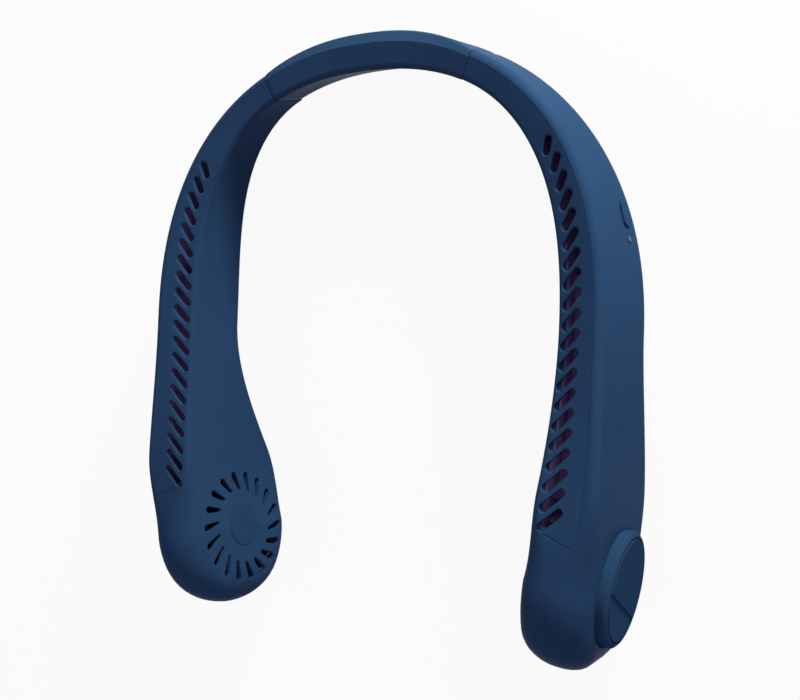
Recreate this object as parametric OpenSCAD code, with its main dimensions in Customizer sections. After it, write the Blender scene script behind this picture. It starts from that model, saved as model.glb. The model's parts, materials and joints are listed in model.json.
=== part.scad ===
// Electric neck fan: two rigid arms, each with a blower in its end bulb, joined by a soft
// neck band. Lengths are in mm and angles in degrees.
// Each arm is drawn in the fan's own plane: X across, Y towards the neck band and Z out of
// the louvred front. at_rest() then lays the fan on its back edge, on the bulbs and arms.

/* [Frame] */
// Width across the front seams of the two arms
frame_w = 168; // [150:1:190]
// Height of the neck arch above the widest line
arch_h = 91; // [80:1:105]
// Length of a leg, from the widest line to the bulb axis
leg_l = 78; // [65:1:90]
// How far a leg draws in towards the bulb
leg_tuck = 3.4; // [0:0.2:5]
// Power of the superellipse that the arch follows
arch_power_share = 2.3; // [2:0.1:2.8]
// Share of the arch, from its middle to the widest line, that the neck band covers
band_end_share = 0.28; // [0.2:0.02:0.36]

/* [Neck section] */
// Width of the front face at the neck
neck_front_w = 7.4; // [6:0.2:10]
// Depth from front to back at the neck
neck_d = 22.6; // [18:0.2:26]
// How far the inner edge of the front face lies below the seam at the neck
neck_drop = 2.6; // [1:0.2:4]
// How far the inner face leans out towards the back at the neck
neck_lean = 5.4; // [3:0.2:7]
// How far the outer face stands out beyond the seam at the neck
neck_flare = 5.5; // [5:0.5:9]
// How far the outside of the sleeve rises in its middle above the line of the arms
sleeve_bulge = 1; // [0:0.1:2]
// Width of the sleeve's slanted outer edge in its middle
sleeve_edge = 4.2; // [3:0.1:5]
// How far that edge falls in its middle
sleeve_fall = 1.8; // [1:0.1:3]

/* [Arm section] */
// Width of the front face at the widest line
arm_front_w = 12.6; // [10:0.2:15]
// Depth from front to back at the widest line
arm_d = 32; // [26:1:36]
// How far the inner edge of the front face lies below the seam on the arm
arm_drop = 4; // [2:0.5:6]
// How far the inner face leans out towards the back on the arm
arm_lean = 1; // [0:0.5:4]
// How far the outer face stands out beyond the seam on the arm
arm_flare = 8.2; // [5:0.2:10]
// How much less it stands out halfway between the neck and the widest line
waist = 0.6; // [0:0.2:3]
// How far the outer front corner lies beyond the seam
seam_edge = 2.4; // [1:0.2:3]
// How much higher the back edge lies on the outside than on the inside
back_rise = 2; // [0:0.5:4]

/* [Bulb] */
// Diameter of the bulb
bulb_d = 56; // [52:1:62]
// How far the bulb's inner face lies from the seam line
bulb_in = 19.6; // [18:0.2:24]
// How far the bulb's outer face stands out beyond the seam line
bulb_out = 3.8; // [2:0.2:6]
// How far the bulb's front rises above the arm's seam
bulb_rise = 1.5; // [0:0.5:4]
// Turn of the bulb about the run of the arm, front rim out
bulb_turn = 3; // [0:0.5:6]
// Rounding of the bulb's rim
bulb_round = 11; // [9:0.5:11]

/* [Shells] */
// Wall of the shells and the louvre panel
wall = 1.8; // [1.4:0.1:2.2]
// Thickness of the louvre panel
panel_t = 1.2; // [1:0.1:1.4]
// Width of the ledge under the louvre panel's outer edge
ledge_w = 1.5; // [1:0.1:2]
// Gap of the seam round the louvre panel
seam_gap = 0.1; // [0.05:0.05:0.2]
// Clearance between an inner part and the wall that holds it
seat_gap = 0.1; // [0.05:0.05:0.2]
// Length that a cutting tool runs past what it cuts
overrun = 1; // [0.5:0.5:2]

/* [Louvres] */
// Number of air outlets in each arm
louvre_n = 20; // [14:1:22]
// Width of an air outlet
louvre_w = 2.6; // [2:0.1:3]
// Length of the first outlet, between the middles of its round ends
louvre_first_l = 3.4; // [2.5:0.1:5]
// Length of the outlets halfway down the arm
louvre_mid_l = 5.7; // [4:0.1:6.5]
// Length of the last outlet
louvre_last_l = 7.6; // [5:0.1:8]
// Distance from the seam to the inner end of the first outlet
louvre_first_in = 5.3; // [4.5:0.1:6.5]
// Distance from the seam to the inner ends halfway down the arm
louvre_mid_in = 9.9; // [9:0.1:11]
// Distance from the seam to the inner end of the last outlet
louvre_last_in = 12.2; // [11:0.1:13]
// Slant of an outlet from the run of the arm
louvre_slant = 45; // [35:1:55]
// Share of the arch where the first outlet lies
louvre_start_share = 0.616; // [0.55:0.01:0.7]
// Share of the leg where the last outlet lies
louvre_end_share = 0.762; // [0.6:0.01:0.8]
// Share of the leg where the louvre panel ends
panel_end_share = 0.825; // [0.8:0.005:0.85]
// Slant of the seam at that end
panel_end_slant = 18; // [0:1:25]

/* [Intake grille] */
// Radius to the outer ends of the intake slots
grille_r = 20; // [18:0.5:21]
// Radius to the inner ends of the intake slots
grille_hub_r = 12; // [11:0.5:13]
// Number of intake slots
grille_n = 18; // [12:1:20]
// Width of an intake slot at its outer end
grille_slot_w = 2.4; // [1.6:0.1:2.6]
// Swirl of the intake slots away from the radius
grille_swirl = 28; // [15:1:35]
// Radius of the disc in the middle of the grille
grille_cap_r = 8.2; // [7:0.2:9]
// Depth of the seat of that disc
grille_cap_d = 1; // [0.8:0.1:1.2]

/* [Outer cap] */
// Radius of the cap ring on the outside of the bulb
cap_r = 18.2; // [17:0.2:19]
// Radius of the flat face inside the cap ring
cap_face_r = 16; // [15:0.2:17]
// Height of the cap above the bulb
cap_h = 3.6; // [3:0.1:4.2]
// Depth of the round seat that the cap ring stands in
cap_seat_d = 1.2; // [0.8:0.1:1.4]
// Thickness of the cap face
cap_face_t = 1.4; // [1.2:0.1:1.6]
// Distance of the thumb facet's edge from the middle of the cap face
facet_off = 5; // [3:0.5:8]
// Depth of the thumb facet at the rim
facet_d = 0.6; // [0.3:0.1:0.8]

/* [Blower] */
// Room between the impeller and the bulb's wall
impeller_room = 5.2; // [4.6:0.1:6.5]
// Length of the impeller blades along the axis
blade_l = 8; // [6:0.5:8]
// Width of the ring of blades
blade_w = 5; // [4:0.5:6.5]
// Thickness of a blade
blade_t = 0.6; // [0.5:0.1:0.8]
// Number of blades
blade_n = 28; // [20:1:32]
// Forward lean of a blade
blade_lean = 38; // [20:1:45]
// Thickness of the impeller's plates and rings
impeller_t = 1; // [0.8:0.1:1.2]
// Wall of the scroll
scroll_t = 1; // [0.8:0.1:1.2]
// Gap between the impeller and the scroll where they are closest
scroll_gap = 0.8; // [0.6:0.1:1]
// How far the scroll opens out over its turn
scroll_grow = 1.4; // [0.8:0.1:1.6]

/* [Motor] */
// Outer radius of the rotor can
can_r = 11; // [10:0.2:12]
// Wall of the rotor can
can_t = 0.7; // [0.5:0.1:0.8]
// Thickness of the magnet ring
magnet_t = 1.1; // [0.9:0.1:1.4]
// Air gap between the magnet ring and the stator
air_gap = 0.4; // [0.3:0.1:0.5]
// Height of the stator core
stator_h = 4.6; // [4:0.2:5]
// How far the windings stand out of the core at each end
winding_h = 1; // [0.8:0.1:1.2]
// Number of stator teeth
tooth_n = 6; // [6:3:9]
// Radius of the motor shaft
shaft_r = 1; // [0.75:0.05:1.25]
// Outer radius of a bearing
bearing_r = 2.5; // [2.2:0.1:3]
// Length of a bearing
bearing_l = 2; // [1.5:0.1:2.5]
// Running clearance between the shaft and its bearings
run_gap = 0.03; // [0.02:0.01:0.06]
// Wall of the bearing tube
tube_t = 1; // [0.8:0.1:1.2]
// Thickness of the motor base
base_t = 1.2; // [1:0.1:1.5]
// Radius of the motor base
base_r = 14.6; // [14:0.2:15.4]
// Thickness of the shell under the motor base
motor_seat_t = 2.8; // [2.2:0.1:3.2]
// How far the can's open end stands off the motor seat
can_off = 2.2; // [1.8:0.1:2.6]
// How far the impeller's back plate stands off the motor seat
impeller_off = 4.2; // [3.6:0.1:5]
// Radius of the shaft of a small screw
screw_r = 0.8; // [0.6:0.05:1]
// Radius of a small screw's head
screw_head_r = 1.5; // [1.2:0.1:1.7]
// Height of a small screw's head
screw_head_h = 0.9; // [0.7:0.1:1]
// Radius of the circle of motor screws
screw_circle_r = 12.8; // [12.4:0.1:13]

/* [Battery] */
// Length of the battery
battery_l = 44; // [34:1:46]
// Thickness of the battery across the arm
battery_t = 8.5; // [7:0.5:9]
// Depth of the battery from front to back
battery_d = 13; // [10:0.5:14]
// Rounding of the battery's long edges
battery_round = 2; // [1:0.5:3]
// Depth of the air divider below the seam
divider_z = 12; // [11:0.5:13]
// Thickness of the air divider
divider_t = 1; // [0.8:0.1:1.2]

/* [Neck band] */
// How far the sleeve stands proud of the arms at the joints
sleeve_step = 0.1; // [0.05:0.05:0.4]
// How much shallower the sleeve is than the arms
sleeve_rise = 2; // [1.8:0.1:3.2]
// Gap between the sleeve and the end of an arm
joint_gap = 0.25; // [0.2:0.05:0.4]
// Thickness of the spring strip
strip_t = 0.6; // [0.4:0.1:0.8]
// Width of the spring strip
strip_w = 9; // [7:0.5:10]
// Share of the arch that the spring strip reaches into
strip_end_share = 0.36; // [0.34:0.01:0.4]
// Radius of the link cable
cable_r = 0.9; // [0.7:0.1:1.1]

/* [Controls] */
// Share of the arch where the controls lie
controls_share = 0.79; // [0.76:0.01:0.8]
// How far the controls lie behind the middle of the outer face
control_drop = 4.5; // [3:0.5:5]
// Length of the control board
board_l = 34; // [30:1:36]
// Width of the control board
board_w = 13; // [11:0.5:14]
// Thickness of the control board
board_t = 1; // [0.8:0.1:1.2]
// Length of the power button
button_l = 8; // [6:0.5:9]
// Width of the power button
button_w = 3.2; // [2.6:0.2:4]
// How far the power button stands proud
button_h = 0.7; // [0.5:0.1:1]
// Travel of the power button
button_travel = 0.5; // [0.3:0.1:0.6]
// Width of the charging port's metal shell
port_w = 9; // [8.9:0.1:9.2]
// Height of the charging port's metal shell
port_h = 3.2; // [3.1:0.1:3.4]
// Length of the charging port's metal shell
port_l = 7.4; // [7:0.1:8]
// Radius of the light pipe
light_r = 0.9; // [0.7:0.1:1.2]

/* [Hidden] */

navy = [0.13, 0.23, 0.36];
navy_dark = [0.1, 0.17, 0.28];
black = [0.08, 0.08, 0.09];
steel = [0.6, 0.61, 0.63];
copper = [0.7, 0.4, 0.22];
foil = [0.55, 0.56, 0.6];
green = [0.08, 0.3, 0.16];
clear = [0.85, 0.87, 0.88];

bulb_z = bulb_rise - bulb_d / 2;
// Profiles: the corners of a section, each as distance out from the seam and height above it,
// in the order inner front, outer front, outer back and inner back
neck_profile = [
    [-neck_front_w, -neck_drop],
    [seam_edge, 0],
    [neck_flare, back_rise - neck_d],
    [neck_lean - neck_front_w, -neck_d]
];
arm_profile = [
    [-arm_front_w, -arm_drop],
    [seam_edge, 0],
    [arm_flare, back_rise - arm_d],
    [arm_lean - arm_front_w, -arm_d]
];
// Rounding of those corners, as shares of the bulb's rim rounding
neck_round_shares = [0.18, 0.22, 0.35, 0.22];
arm_round_shares = [0.18, 0.24, 0.65, 0.25];
rim_start_share = 0.62;
waist_share = 0.64;

function mix(a, b, t) = a + (b - a) * t;
function smooth(t) = let (c = min(max(t, 0), 1)) c * c * (3 - 2 * c);
function unit(v) = v / norm(v);
function turned(v, a) = [v.x * cos(a) - v.y * sin(a), v.x * sin(a) + v.y * cos(a)];
function polar(r, a) = [r * cos(a), r * sin(a)];
function bulb_point(u, h) = turned([u, h], -bulb_turn) + [0, bulb_z];
bulb_profile = [
    bulb_point(-bulb_in, bulb_d / 2),
    bulb_point(bulb_out, bulb_d / 2),
    bulb_point(bulb_out, -bulb_d / 2),
    bulb_point(-bulb_in, -bulb_d / 2)
];

// The seam line of an arm by station: 0 in the middle of the neck, 1 at the widest line and
// 2 at the bulb axis. A negative station lies on the left half of the neck.
function rail(s) = s <= 1
    ? [sign(s) * frame_w / 2 * pow(sin(90 * abs(s)), 2 / arch_power_share),
       arch_h * pow(cos(90 * abs(s)), 2 / arch_power_share)]
    : [frame_w / 2 - leg_tuck * pow(s - 1, 3), -leg_l * (s - 1)];
function outward(s) = let (
    e = 2 - 2 / arch_power_share,
    a = s >= 1 ? -atan2(3 * leg_tuck * pow(s - 1, 2), leg_l) : atan2(pow(cos(90 * abs(s)), e) / arch_h, pow(sin(90 * abs(s)), e) * 2 / frame_w)
) s < 0 ? 180 - a : a;
function plan(s, u) = rail(s) + polar(u, outward(s));

// Corners of the section at a station, and the same drawn in by a wall of thickness g
function along(s) = smooth((abs(s) - band_end_share) / (1 - band_end_share));
function corners(s) = let (
    a = along(s),
    b = smooth(s - 1),
    f = pow(min(max(s - 1, 0), 1), 1.6),
    dip = max(0, 1 - pow((abs(s) - waist_share) / (1 - waist_share), 2)) * waist
) [for (i = [0:3]) let (p = mix(neck_profile[i], arm_profile[i], a), q = bulb_profile[i])
    [mix(p.x - (i == 2 ? dip : 0), q.x, i == 0 || i == 3 ? f : b), mix(p.y, q.y, b)]];
function drawn_in(c, g) = let (n = len(c)) [for (i = [0:n - 1]) let (
    a = unit(c[(i + n - 1) % n] - c[i]),
    b = unit(c[(i + 1) % n] - c[i])
) c[i] + (a + b) * g / sin(acos(a * b))];
function rounds(s) = let (
    p = mix(neck_round_shares, arm_round_shares, along(s)),
    t = smooth((s - 1 - rim_start_share) / (1 - rim_start_share))
) [for (v = p) mix(v, 1, t) * bulb_round];

// Points of the arc that rounds corner c between its neighbours p and n
function fillet(p, c, n, r, k) = let (
    a = unit(p - c),
    b = unit(n - c),
    half = acos(a * b) / 2,
    o = c + unit(a + b) * r / sin(half),
    from = c + a * r / tan(half) - o,
    way = sign(cross(a, b)) < 0 ? 1 : -1
) [for (i = [0:k]) o + turned(from, way * (180 - 2 * half) * i / k)];
function rounded(c, r, k) = let (n = len(c))
    [for (i = [0:n - 1]) each fillet(c[(i + n - 1) % n], c[i], c[(i + 1) % n], r[i], k)];

// Rings of points: along the arm, and round the end of the bulb
function arm_ring(s, g, k) = let (
    r = [for (v = rounds(s)) max(v - g, wall / 2)]
) [for (p = rounded(drawn_in(corners(s), g), r, k)) [each plan(s, p.x), p.y]];
function end_ring(a, g, k) = let (
    o = rail(2),
    r = bulb_d / 2 - g,
    rim = bulb_round - g,
    over = max(0, r * sin(a) - (r - rim)),
    mid = (bulb_out - bulb_in) / 2,
    t = (bulb_out + bulb_in) / 2 - g - rim + sqrt(rim * rim - over * over),
    h = r * cos(a),
    q = [[mid - t, h], [mid + t, h], [mid + t, -h], [mid - t, -h]],
    round = min(rim, h * 0.95, t * 0.95)
) [for (v = rounded(q, [round, round, round, round], k)) let (p = bulb_point(v.x, v.y))
    [each o + turned([p.x, -r * sin(a)], outward(2)), p.y]];

arch_steps = 9;
leg_steps = 9;
end_angles = [16, 32, 46, 58, 69, 79, 86];
solid_share = 0.36;
arm_stations = concat(
    [for (i = [0:arch_steps]) mix(band_end_share, 1, i / arch_steps)],
    [for (i = [1:leg_steps]) 1 + i / leg_steps]
);
function body_rings(g, k, first) = concat(
    [for (s = arm_stations) if (s >= first) arm_ring(s, g, k)],
    [for (a = end_angles) end_ring(a, g, k)]
);

module loft(rings) {
    m = len(rings[0]);
    n = len(rings);
    walls = [for (j = [0:n - 2]) for (i = [0:m - 1]) let (k = (i + 1) % m)
        each [[j * m + i, j * m + k, j * m + m + k], [j * m + i, j * m + m + k, j * m + m + i]]];
    lids = [[for (i = [m - 1:-1:0]) i], [for (i = [0:m - 1]) n * m - m + i]];
    polyhedron(points = [for (r = rings) each r], faces = concat(walls, lids), convexity = 10);
}

// Slabs that follow the front face, for the louvre panel and the opening under it
function front_at(c, u) = mix(c[0].y, c[1].y, (u - c[0].x) / (c[1].x - c[0].x));
function slab_point(s, u, dv) = [each plan(s, u), front_at(corners(s), u) + dv];
function slab_ring(s, uo, inset, deep, slant) = let (
    skew = slant / leg_l,
    ui = corners(s - skew)[0].x + rounds(s - skew)[0] / 2 + inset
) [
    slab_point(s - skew, ui, overrun),
    slab_point(s, uo, overrun),
    slab_point(s, uo, -deep),
    slab_point(s - skew, ui, -deep)
];
panel_skew = (louvre_last_in + overrun) * tan(panel_end_slant);
module panel_zone(gap) {
    body = [for (s = arm_stations) if (s < 1 + panel_end_share - 1 / leg_steps) s];
    loft(concat(
        [slab_ring(2 * band_end_share - arm_stations[1], -gap, gap, panel_t - gap, 0)],
        [for (s = body) slab_ring(s, -gap, gap, panel_t - gap, 0)],
        [slab_ring(1 + panel_end_share - gap / leg_l, -gap, gap, panel_t - gap, panel_skew)]
    ));
}
module panel_opening() {
    body = [for (s = arm_stations) if (s > solid_share && s < 1 + panel_end_share - 1 / leg_steps) s];
    loft([for (s = body) slab_ring(s, -ledge_w, ledge_w, 2 * wall, 0)]);
}
// The outer half of an arm, up to the parting under the louvre panel
function half_ring(s) = let (
    c = corners(s),
    front = (c[0] + c[1]) / 2,
    back = (c[2] + c[3]) / 2,
    step = unit(back - front) * bulb_round,
    a = front - step,
    b = back + step,
    far = bulb_d / 2
) [[each plan(s, a.x), a.y], [each plan(s, far), a.y], [each plan(s, far), b.y], [each plan(s, b.x), b.y]];
module outer_half() loft(concat(
    [for (s = [band_end_share - 0.12, band_end_share - 0.06]) half_ring(s)],
    [for (s = arm_stations) half_ring(s)],
    [for (s = [2.2, 2.5]) half_ring(s)]
));

// The neck band follows a round arc through its middle and its ends
neck_end = rail(band_end_share);
neck_h = arch_h + sleeve_bulge;
neck_r = (pow(neck_end.x, 2) + pow(neck_h - neck_end.y, 2)) / (neck_h - neck_end.y) / 2;
neck_a = asin(neck_end.x / neck_r);
neck_corners = corners(band_end_share);
neck_low = [for (i = [0:3]) let (c = neck_corners[i], f = neck_corners[3 - i])
    i > 1 ? mix(c, f, sleeve_rise / (f.y - c.y)) : c];
neck_top = (neck_corners[0] + neck_corners[1]) / 2;
neck_run = unit((neck_corners[2] + neck_corners[3]) / 2 - neck_top);
neck_mid = (neck_top + (neck_corners[2] + neck_corners[3]) / 2) / 2;
sleeve_wall = wall * 1.2;
plug_l = neck_front_w;
overrun_a = asin(overrun / neck_r);
strip_a = asin(rail(solid_share).x / neck_r) - overrun_a;
module neck_arc(half_angle, skip = 0) {
    translate([0, neck_h - neck_r, 0])
    rotate([0, 0, 90 + skip - half_angle])
    rotate_extrude(angle = 2 * half_angle - skip, $fn = 180)
    translate([neck_r, 0])
    children();
}
module plug_arc(start, end) {
    translate([0, neck_h - neck_r, 0])
    rotate([0, 0, 90 - end])
    rotate_extrude(angle = end - start, $fn = 180)
    translate([neck_r, 0])
    children();
}
function slanted(mid, run, w, t) = let (n = [-run.y, run.x]) [
    mid - run * w / 2 - n * t / 2, mid - run * w / 2 + n * t / 2,
    mid + run * w / 2 + n * t / 2, mid + run * w / 2 - n * t / 2
];
plug_a = asin(plug_l / neck_r);

// The soft sleeve covers the plugs at the ends of the arms. A crease parts its front from a
// slanted outer edge, which narrows towards the joints.
sleeve_round_shares = [0.18, 0.03, 0.14, 0.35, 0.22];
crease = [0, front_at(neck_corners, 0)];
mid_edge = crease + [sleeve_edge, -sleeve_fall];
joint_edge = neck_corners[1] - [0, sleeve_fall / 2];
sleeve_back_share = 0.7;
function sleeve_ring(t) = let (
    s = (band_end_share - joint_gap / neck_r) * t,
    b = [sleeve_bulge * (1 - t * t), 0],
    edge = mix(mid_edge, joint_edge, t * t) + b,
    c = drawn_in([neck_low[0], crease + b, edge, neck_low[2] + b * sleeve_back_share, neck_low[3]], -sleeve_step)
) [for (p = rounded(c, sleeve_round_shares * bulb_round, 4)) [each plan(s, p.x), p.y]];
sleeve_steps = 8.5;
sleeve_half = [for (i = [0.5:sleeve_steps]) sleeve_ring(i / sleeve_steps)];
sleeve_rings = concat(
    [for (i = [len(sleeve_half) - 1:-1:0]) [for (p = sleeve_half[i]) [-p.x, p.y, p.z]]],
    sleeve_half
);

// Rest position: the bulbs and the neck ends of the arms stand on the floor, and the origin
// is on the floor in the middle
function low_at(t, rings) = min([for (r = rings) for (p = r) p.z * cos(t) - p.y * sin(t)]);
arm_rings = body_rings(0, 4, 0);
tip_rings = body_rings(0, 4, 1.5);
first_tilt = asin((bulb_d - neck_d) / (leg_l + arch_h));
end_y = rail(band_end_share).y;
function better(t) = t + atan2(low_at(t, [arm_rings[0]]) - low_at(t, tip_rings), leg_l + end_y);
tilt = better(better(first_tilt));
lift = -low_at(tilt, arm_rings);
shares_y = [for (r = concat(arm_rings, sleeve_rings)) for (p = r) p.y * cos(tilt) + p.z * sin(tilt)];
mid_y = (max(shares_y) + min(shares_y)) / 2;
module at_rest() translate([0, -mid_y, lift]) rotate([-tilt, 0, 0]) children();
module left_side() at_rest() mirror([1, 0, 0]) children();

// Axis of the blower: u is the distance out from the seam line, and Z points in or out
seat_u = bulb_out - cap_seat_d - motor_seat_t;
seam_roll = 25;
module bulb_frame(u) {
    o = rail(2);
    translate([o.x, o.y, bulb_z])
    rotate([0, bulb_turn, outward(2)])
    translate([u, 0, 0])
    children();
}
module on_axis(u) bulb_frame(u) rotate([0, -90, 0]) children();
module out_axis(u) bulb_frame(u) rotate([0, 90, 0]) children();
module ring(ro, ri, h) {
    difference() {
        cylinder(h = h, r = ro, $fn = 48);
        translate([0, 0, -overrun]) cylinder(h = h + 2 * overrun, r = ri, $fn = 48);
    }
}
module slot(l, w, h) {
    cylinder(h = h, d = w, $fn = 16);
    translate([l, 0, 0]) cylinder(h = h, d = w, $fn = 16);
    translate([0, -w / 2, 0]) cube([l, w, h]);
}
module stadium(l, w, h) translate([0, (w - l) / 2, 0]) rotate([0, 0, 90]) slot(l - w, w, h);

// Outlets: even steps along the line of their inner ends
function louvre_share(s) = smooth((s - louvre_start_share) / (1 - louvre_start_share));
function louvre_in(s) = s < 1
    ? mix(louvre_first_in, louvre_mid_in, louvre_share(s))
    : mix(louvre_mid_in, louvre_last_in, (s - 1) / louvre_end_share);
function louvre_l(s) = s < 1
    ? mix(louvre_first_l, louvre_mid_l, louvre_share(s))
    : mix(louvre_mid_l, louvre_last_l, (s - 1) / louvre_end_share);
louvre_fine = [for (i = [0:80]) mix(louvre_start_share, 1 + louvre_end_share, i / 80)];
louvre_run = [for (i = 0, l = 0; i <= 80;
    l = l + (i < 80 ? norm(plan(louvre_fine[i + 1], -louvre_in(louvre_fine[i + 1]))
        - plan(louvre_fine[i], -louvre_in(louvre_fine[i]))) : 0), i = i + 1) [l, louvre_fine[i]]];
louvre_total = louvre_run[80][0];
module louvre_slots() {
    for (i = [0:louvre_n - 1]) {
        s = lookup(louvre_total * i / (louvre_n - 1), louvre_run);
        p = plan(s, -louvre_in(s));
        translate([p.x, p.y, -2 * arm_drop - 3 * panel_t])
        rotate([0, 0, outward(s) + 90 - louvre_slant])
        slot(louvre_l(s), louvre_w, 3 * arm_drop + 3 * panel_t);
    }
}

// Frame of the controls: X out of the outer face, Y along the arm to the neck, Z up the face
ctl_corners = corners(controls_share);
ctl_mid = (ctl_corners[1] + ctl_corners[2]) / 2;
ctl_lean = atan2(ctl_corners[2].x - ctl_corners[1].x, ctl_corners[1].y - ctl_corners[2].y);
ctl_back = (ctl_corners[2].y + ctl_corners[3].y) / 2 - ctl_mid.y + control_drop;
module at_controls() {
    o = plan(controls_share, ctl_mid.x);
    translate([o.x, o.y, ctl_mid.y])
    rotate([0, 0, outward(controls_share)])
    rotate([0, -ctl_lean, 0])
    translate([0, 0, -control_drop])
    children();
}
module on_face(x, y, z) translate([x, y, z]) rotate([0, -90, 0]) children();
flange_x = -wall - 2 * seat_gap;
flange_t = wall / 2;
nub_x = flange_x - flange_t - screw_head_h / 3;
switch_x = nub_x - button_travel - seat_gap;
board_x = switch_x - wall;
board_mid = control_drop - button_w;
port_y = board_l / 4;
light_y = -button_l;
port_x = board_x - board_t - port_h / 2;
port_z = ctl_back + wall - port_x * sin(ctl_lean);
board_screw_y = board_l / 2 - 2 * screw_head_r;

module arm_body() {
    difference() {
        union() {
            loft(body_rings(0, 4, 0));
            plug_arc(neck_a - plug_a, neck_a + plug_a / 2) polygon(drawn_in(neck_low, sleeve_wall + seat_gap));
        }
        difference() {
            loft(body_rings(wall, 3, solid_share));
            // Seat of the motor, thicker than the wall round it
            on_axis(bulb_out) rotate([0, 0, seam_roll])
                cylinder(h = cap_seat_d + motor_seat_t, r = base_r + seat_gap, $fn = 48);
        }
        panel_zone(0);
        panel_opening();
        // Seats of the cap ring and the grille cap
        out_axis(bulb_out - cap_seat_d) rotate([0, 0, seam_roll])
            cylinder(h = bulb_round, r = cap_r + 2 * seat_gap, $fn = 64);
        on_axis(-bulb_in + grille_cap_d) rotate([0, 0, seam_roll])
            cylinder(h = bulb_round, r = grille_cap_r + seat_gap, $fn = 48);
        // Intake slots
        for (i = [0:grille_n - 1])
            on_axis(-bulb_in + bulb_round / 2)
            rotate([0, 0, 360 * i / grille_n])
            translate([(grille_hub_r + grille_r) / 2, 0, 0])
            rotate([0, 0, grille_swirl])
            translate([(grille_hub_r - grille_r + grille_slot_w) / 2, 0, 0])
            slot(grille_r - grille_hub_r - grille_slot_w, grille_slot_w, bulb_round);
        // Holes of the motor screws
        motor_screw_places() translate([0, 0, -motor_seat_t]) cylinder(h = 2 * motor_seat_t, r = screw_r, $fn = 16);
        // Slot of the spring strip, hole of its pin and hole of the cable
        plug_arc(neck_a - plug_a - overrun_a, strip_a)
            polygon(slanted(neck_mid, neck_run, strip_w + 2 * seat_gap, strip_t + 2 * seat_gap));
        strip_pin_place(seat_gap / 4);
        plug_arc(neck_a - plug_a - overrun_a, strip_a + plug_a)
            translate(cable_at) circle(r = cable_r + seat_gap, $fn = 16);
    }
}
module motor_screw_places() {
    for (i = [0:2])
        on_axis(bulb_out - cap_seat_d)
        rotate([0, 0, 120 * i + 30])
        translate([screw_circle_r, 0, 0])
        children();
}
cable_at = neck_mid - neck_run * (strip_w / 2 + 2 * cable_r);
pin_a = (neck_a + strip_a) / 2;
pin_r = strip_t * 2;
pin_l = neck_front_w - wall;
module strip_pin_place(gap) {
    translate([0, neck_h - neck_r, 0])
    rotate([0, 0, 90 - pin_a])
    translate([neck_r + neck_mid.x - pin_l / 2 - gap, 0, neck_mid.y])
    rotate([0, 90, 0])
    cylinder(h = pin_l + 2 * gap, r = pin_r + gap, $fn = 24);
}

module outer_shell() {
    intersection() {
        arm_body();
        outer_half();
    }
}
module inner_shell() {
    difference() {
        arm_body();
        outer_half();
    }
}
module controls_cuts() {
    at_controls() {
        on_face(overrun, 0, 0) stadium(button_l + 2 * seat_gap, button_w + 2 * seat_gap, 3 * wall);
        on_face(overrun, light_y, 0) cylinder(h = 3 * wall, r = light_r + seat_gap / 4, $fn = 24);
        translate([port_x, port_y, port_z - 3 * wall])
            stadium(port_w + 2 * seat_gap, port_h + 2 * seat_gap, 6 * wall);
    }
}
module board_posts() {
    at_controls()
        for (y = [-board_screw_y, board_screw_y])
            on_face(-wall / 2, y, board_mid) difference() {
                cylinder(h = -wall / 2 - board_x, r = screw_head_r + screw_r / 2, $fn = 24);
                translate([0, 0, wall / 2]) cylinder(h = -board_x, r = screw_r, $fn = 16);
            }
}
module louvre_panel() {
    difference() {
        intersection() {
            loft(body_rings(0, 4, 0));
            panel_zone(seam_gap);
        }
        louvre_slots();
    }
}
// The cap ring clears the heads of the motor screws
cap_ledge_r = screw_circle_r + screw_head_r + 2 * seat_gap;
module cap_ring() {
    h = cap_seat_d + cap_h;
    bevel = cap_r - cap_face_r;
    out_axis(bulb_out - cap_seat_d)
    rotate_extrude($fn = 64)
    polygon([
        [cap_ledge_r, 0], [cap_r, 0], [cap_r, h - bevel * 0.7], [cap_r - bevel * 0.5, h],
        [cap_face_r, h], [cap_face_r, h - cap_face_t], [cap_ledge_r, h - cap_face_t]
    ]);
}
module cap_face() {
    out_axis(bulb_out + cap_h - cap_face_t) difference() {
        cylinder(h = cap_face_t - seam_gap, r = cap_face_r - seam_gap, $fn = 64);
        // Thumb facet at the lower edge
        rotate([0, 0, 145])
            translate([facet_off, 0, cap_face_t - seam_gap])
            rotate([0, atan2(facet_d, cap_face_r - facet_off), 0])
            translate([0, -cap_face_r, 0])
            cube([2 * cap_face_r, 2 * cap_face_r, cap_face_t]);
    }
}
module grille_cap() {
    on_axis(-bulb_in + grille_cap_d)
        cylinder(h = grille_cap_d + seam_gap, r = grille_cap_r, $fn = 48);
}

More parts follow.
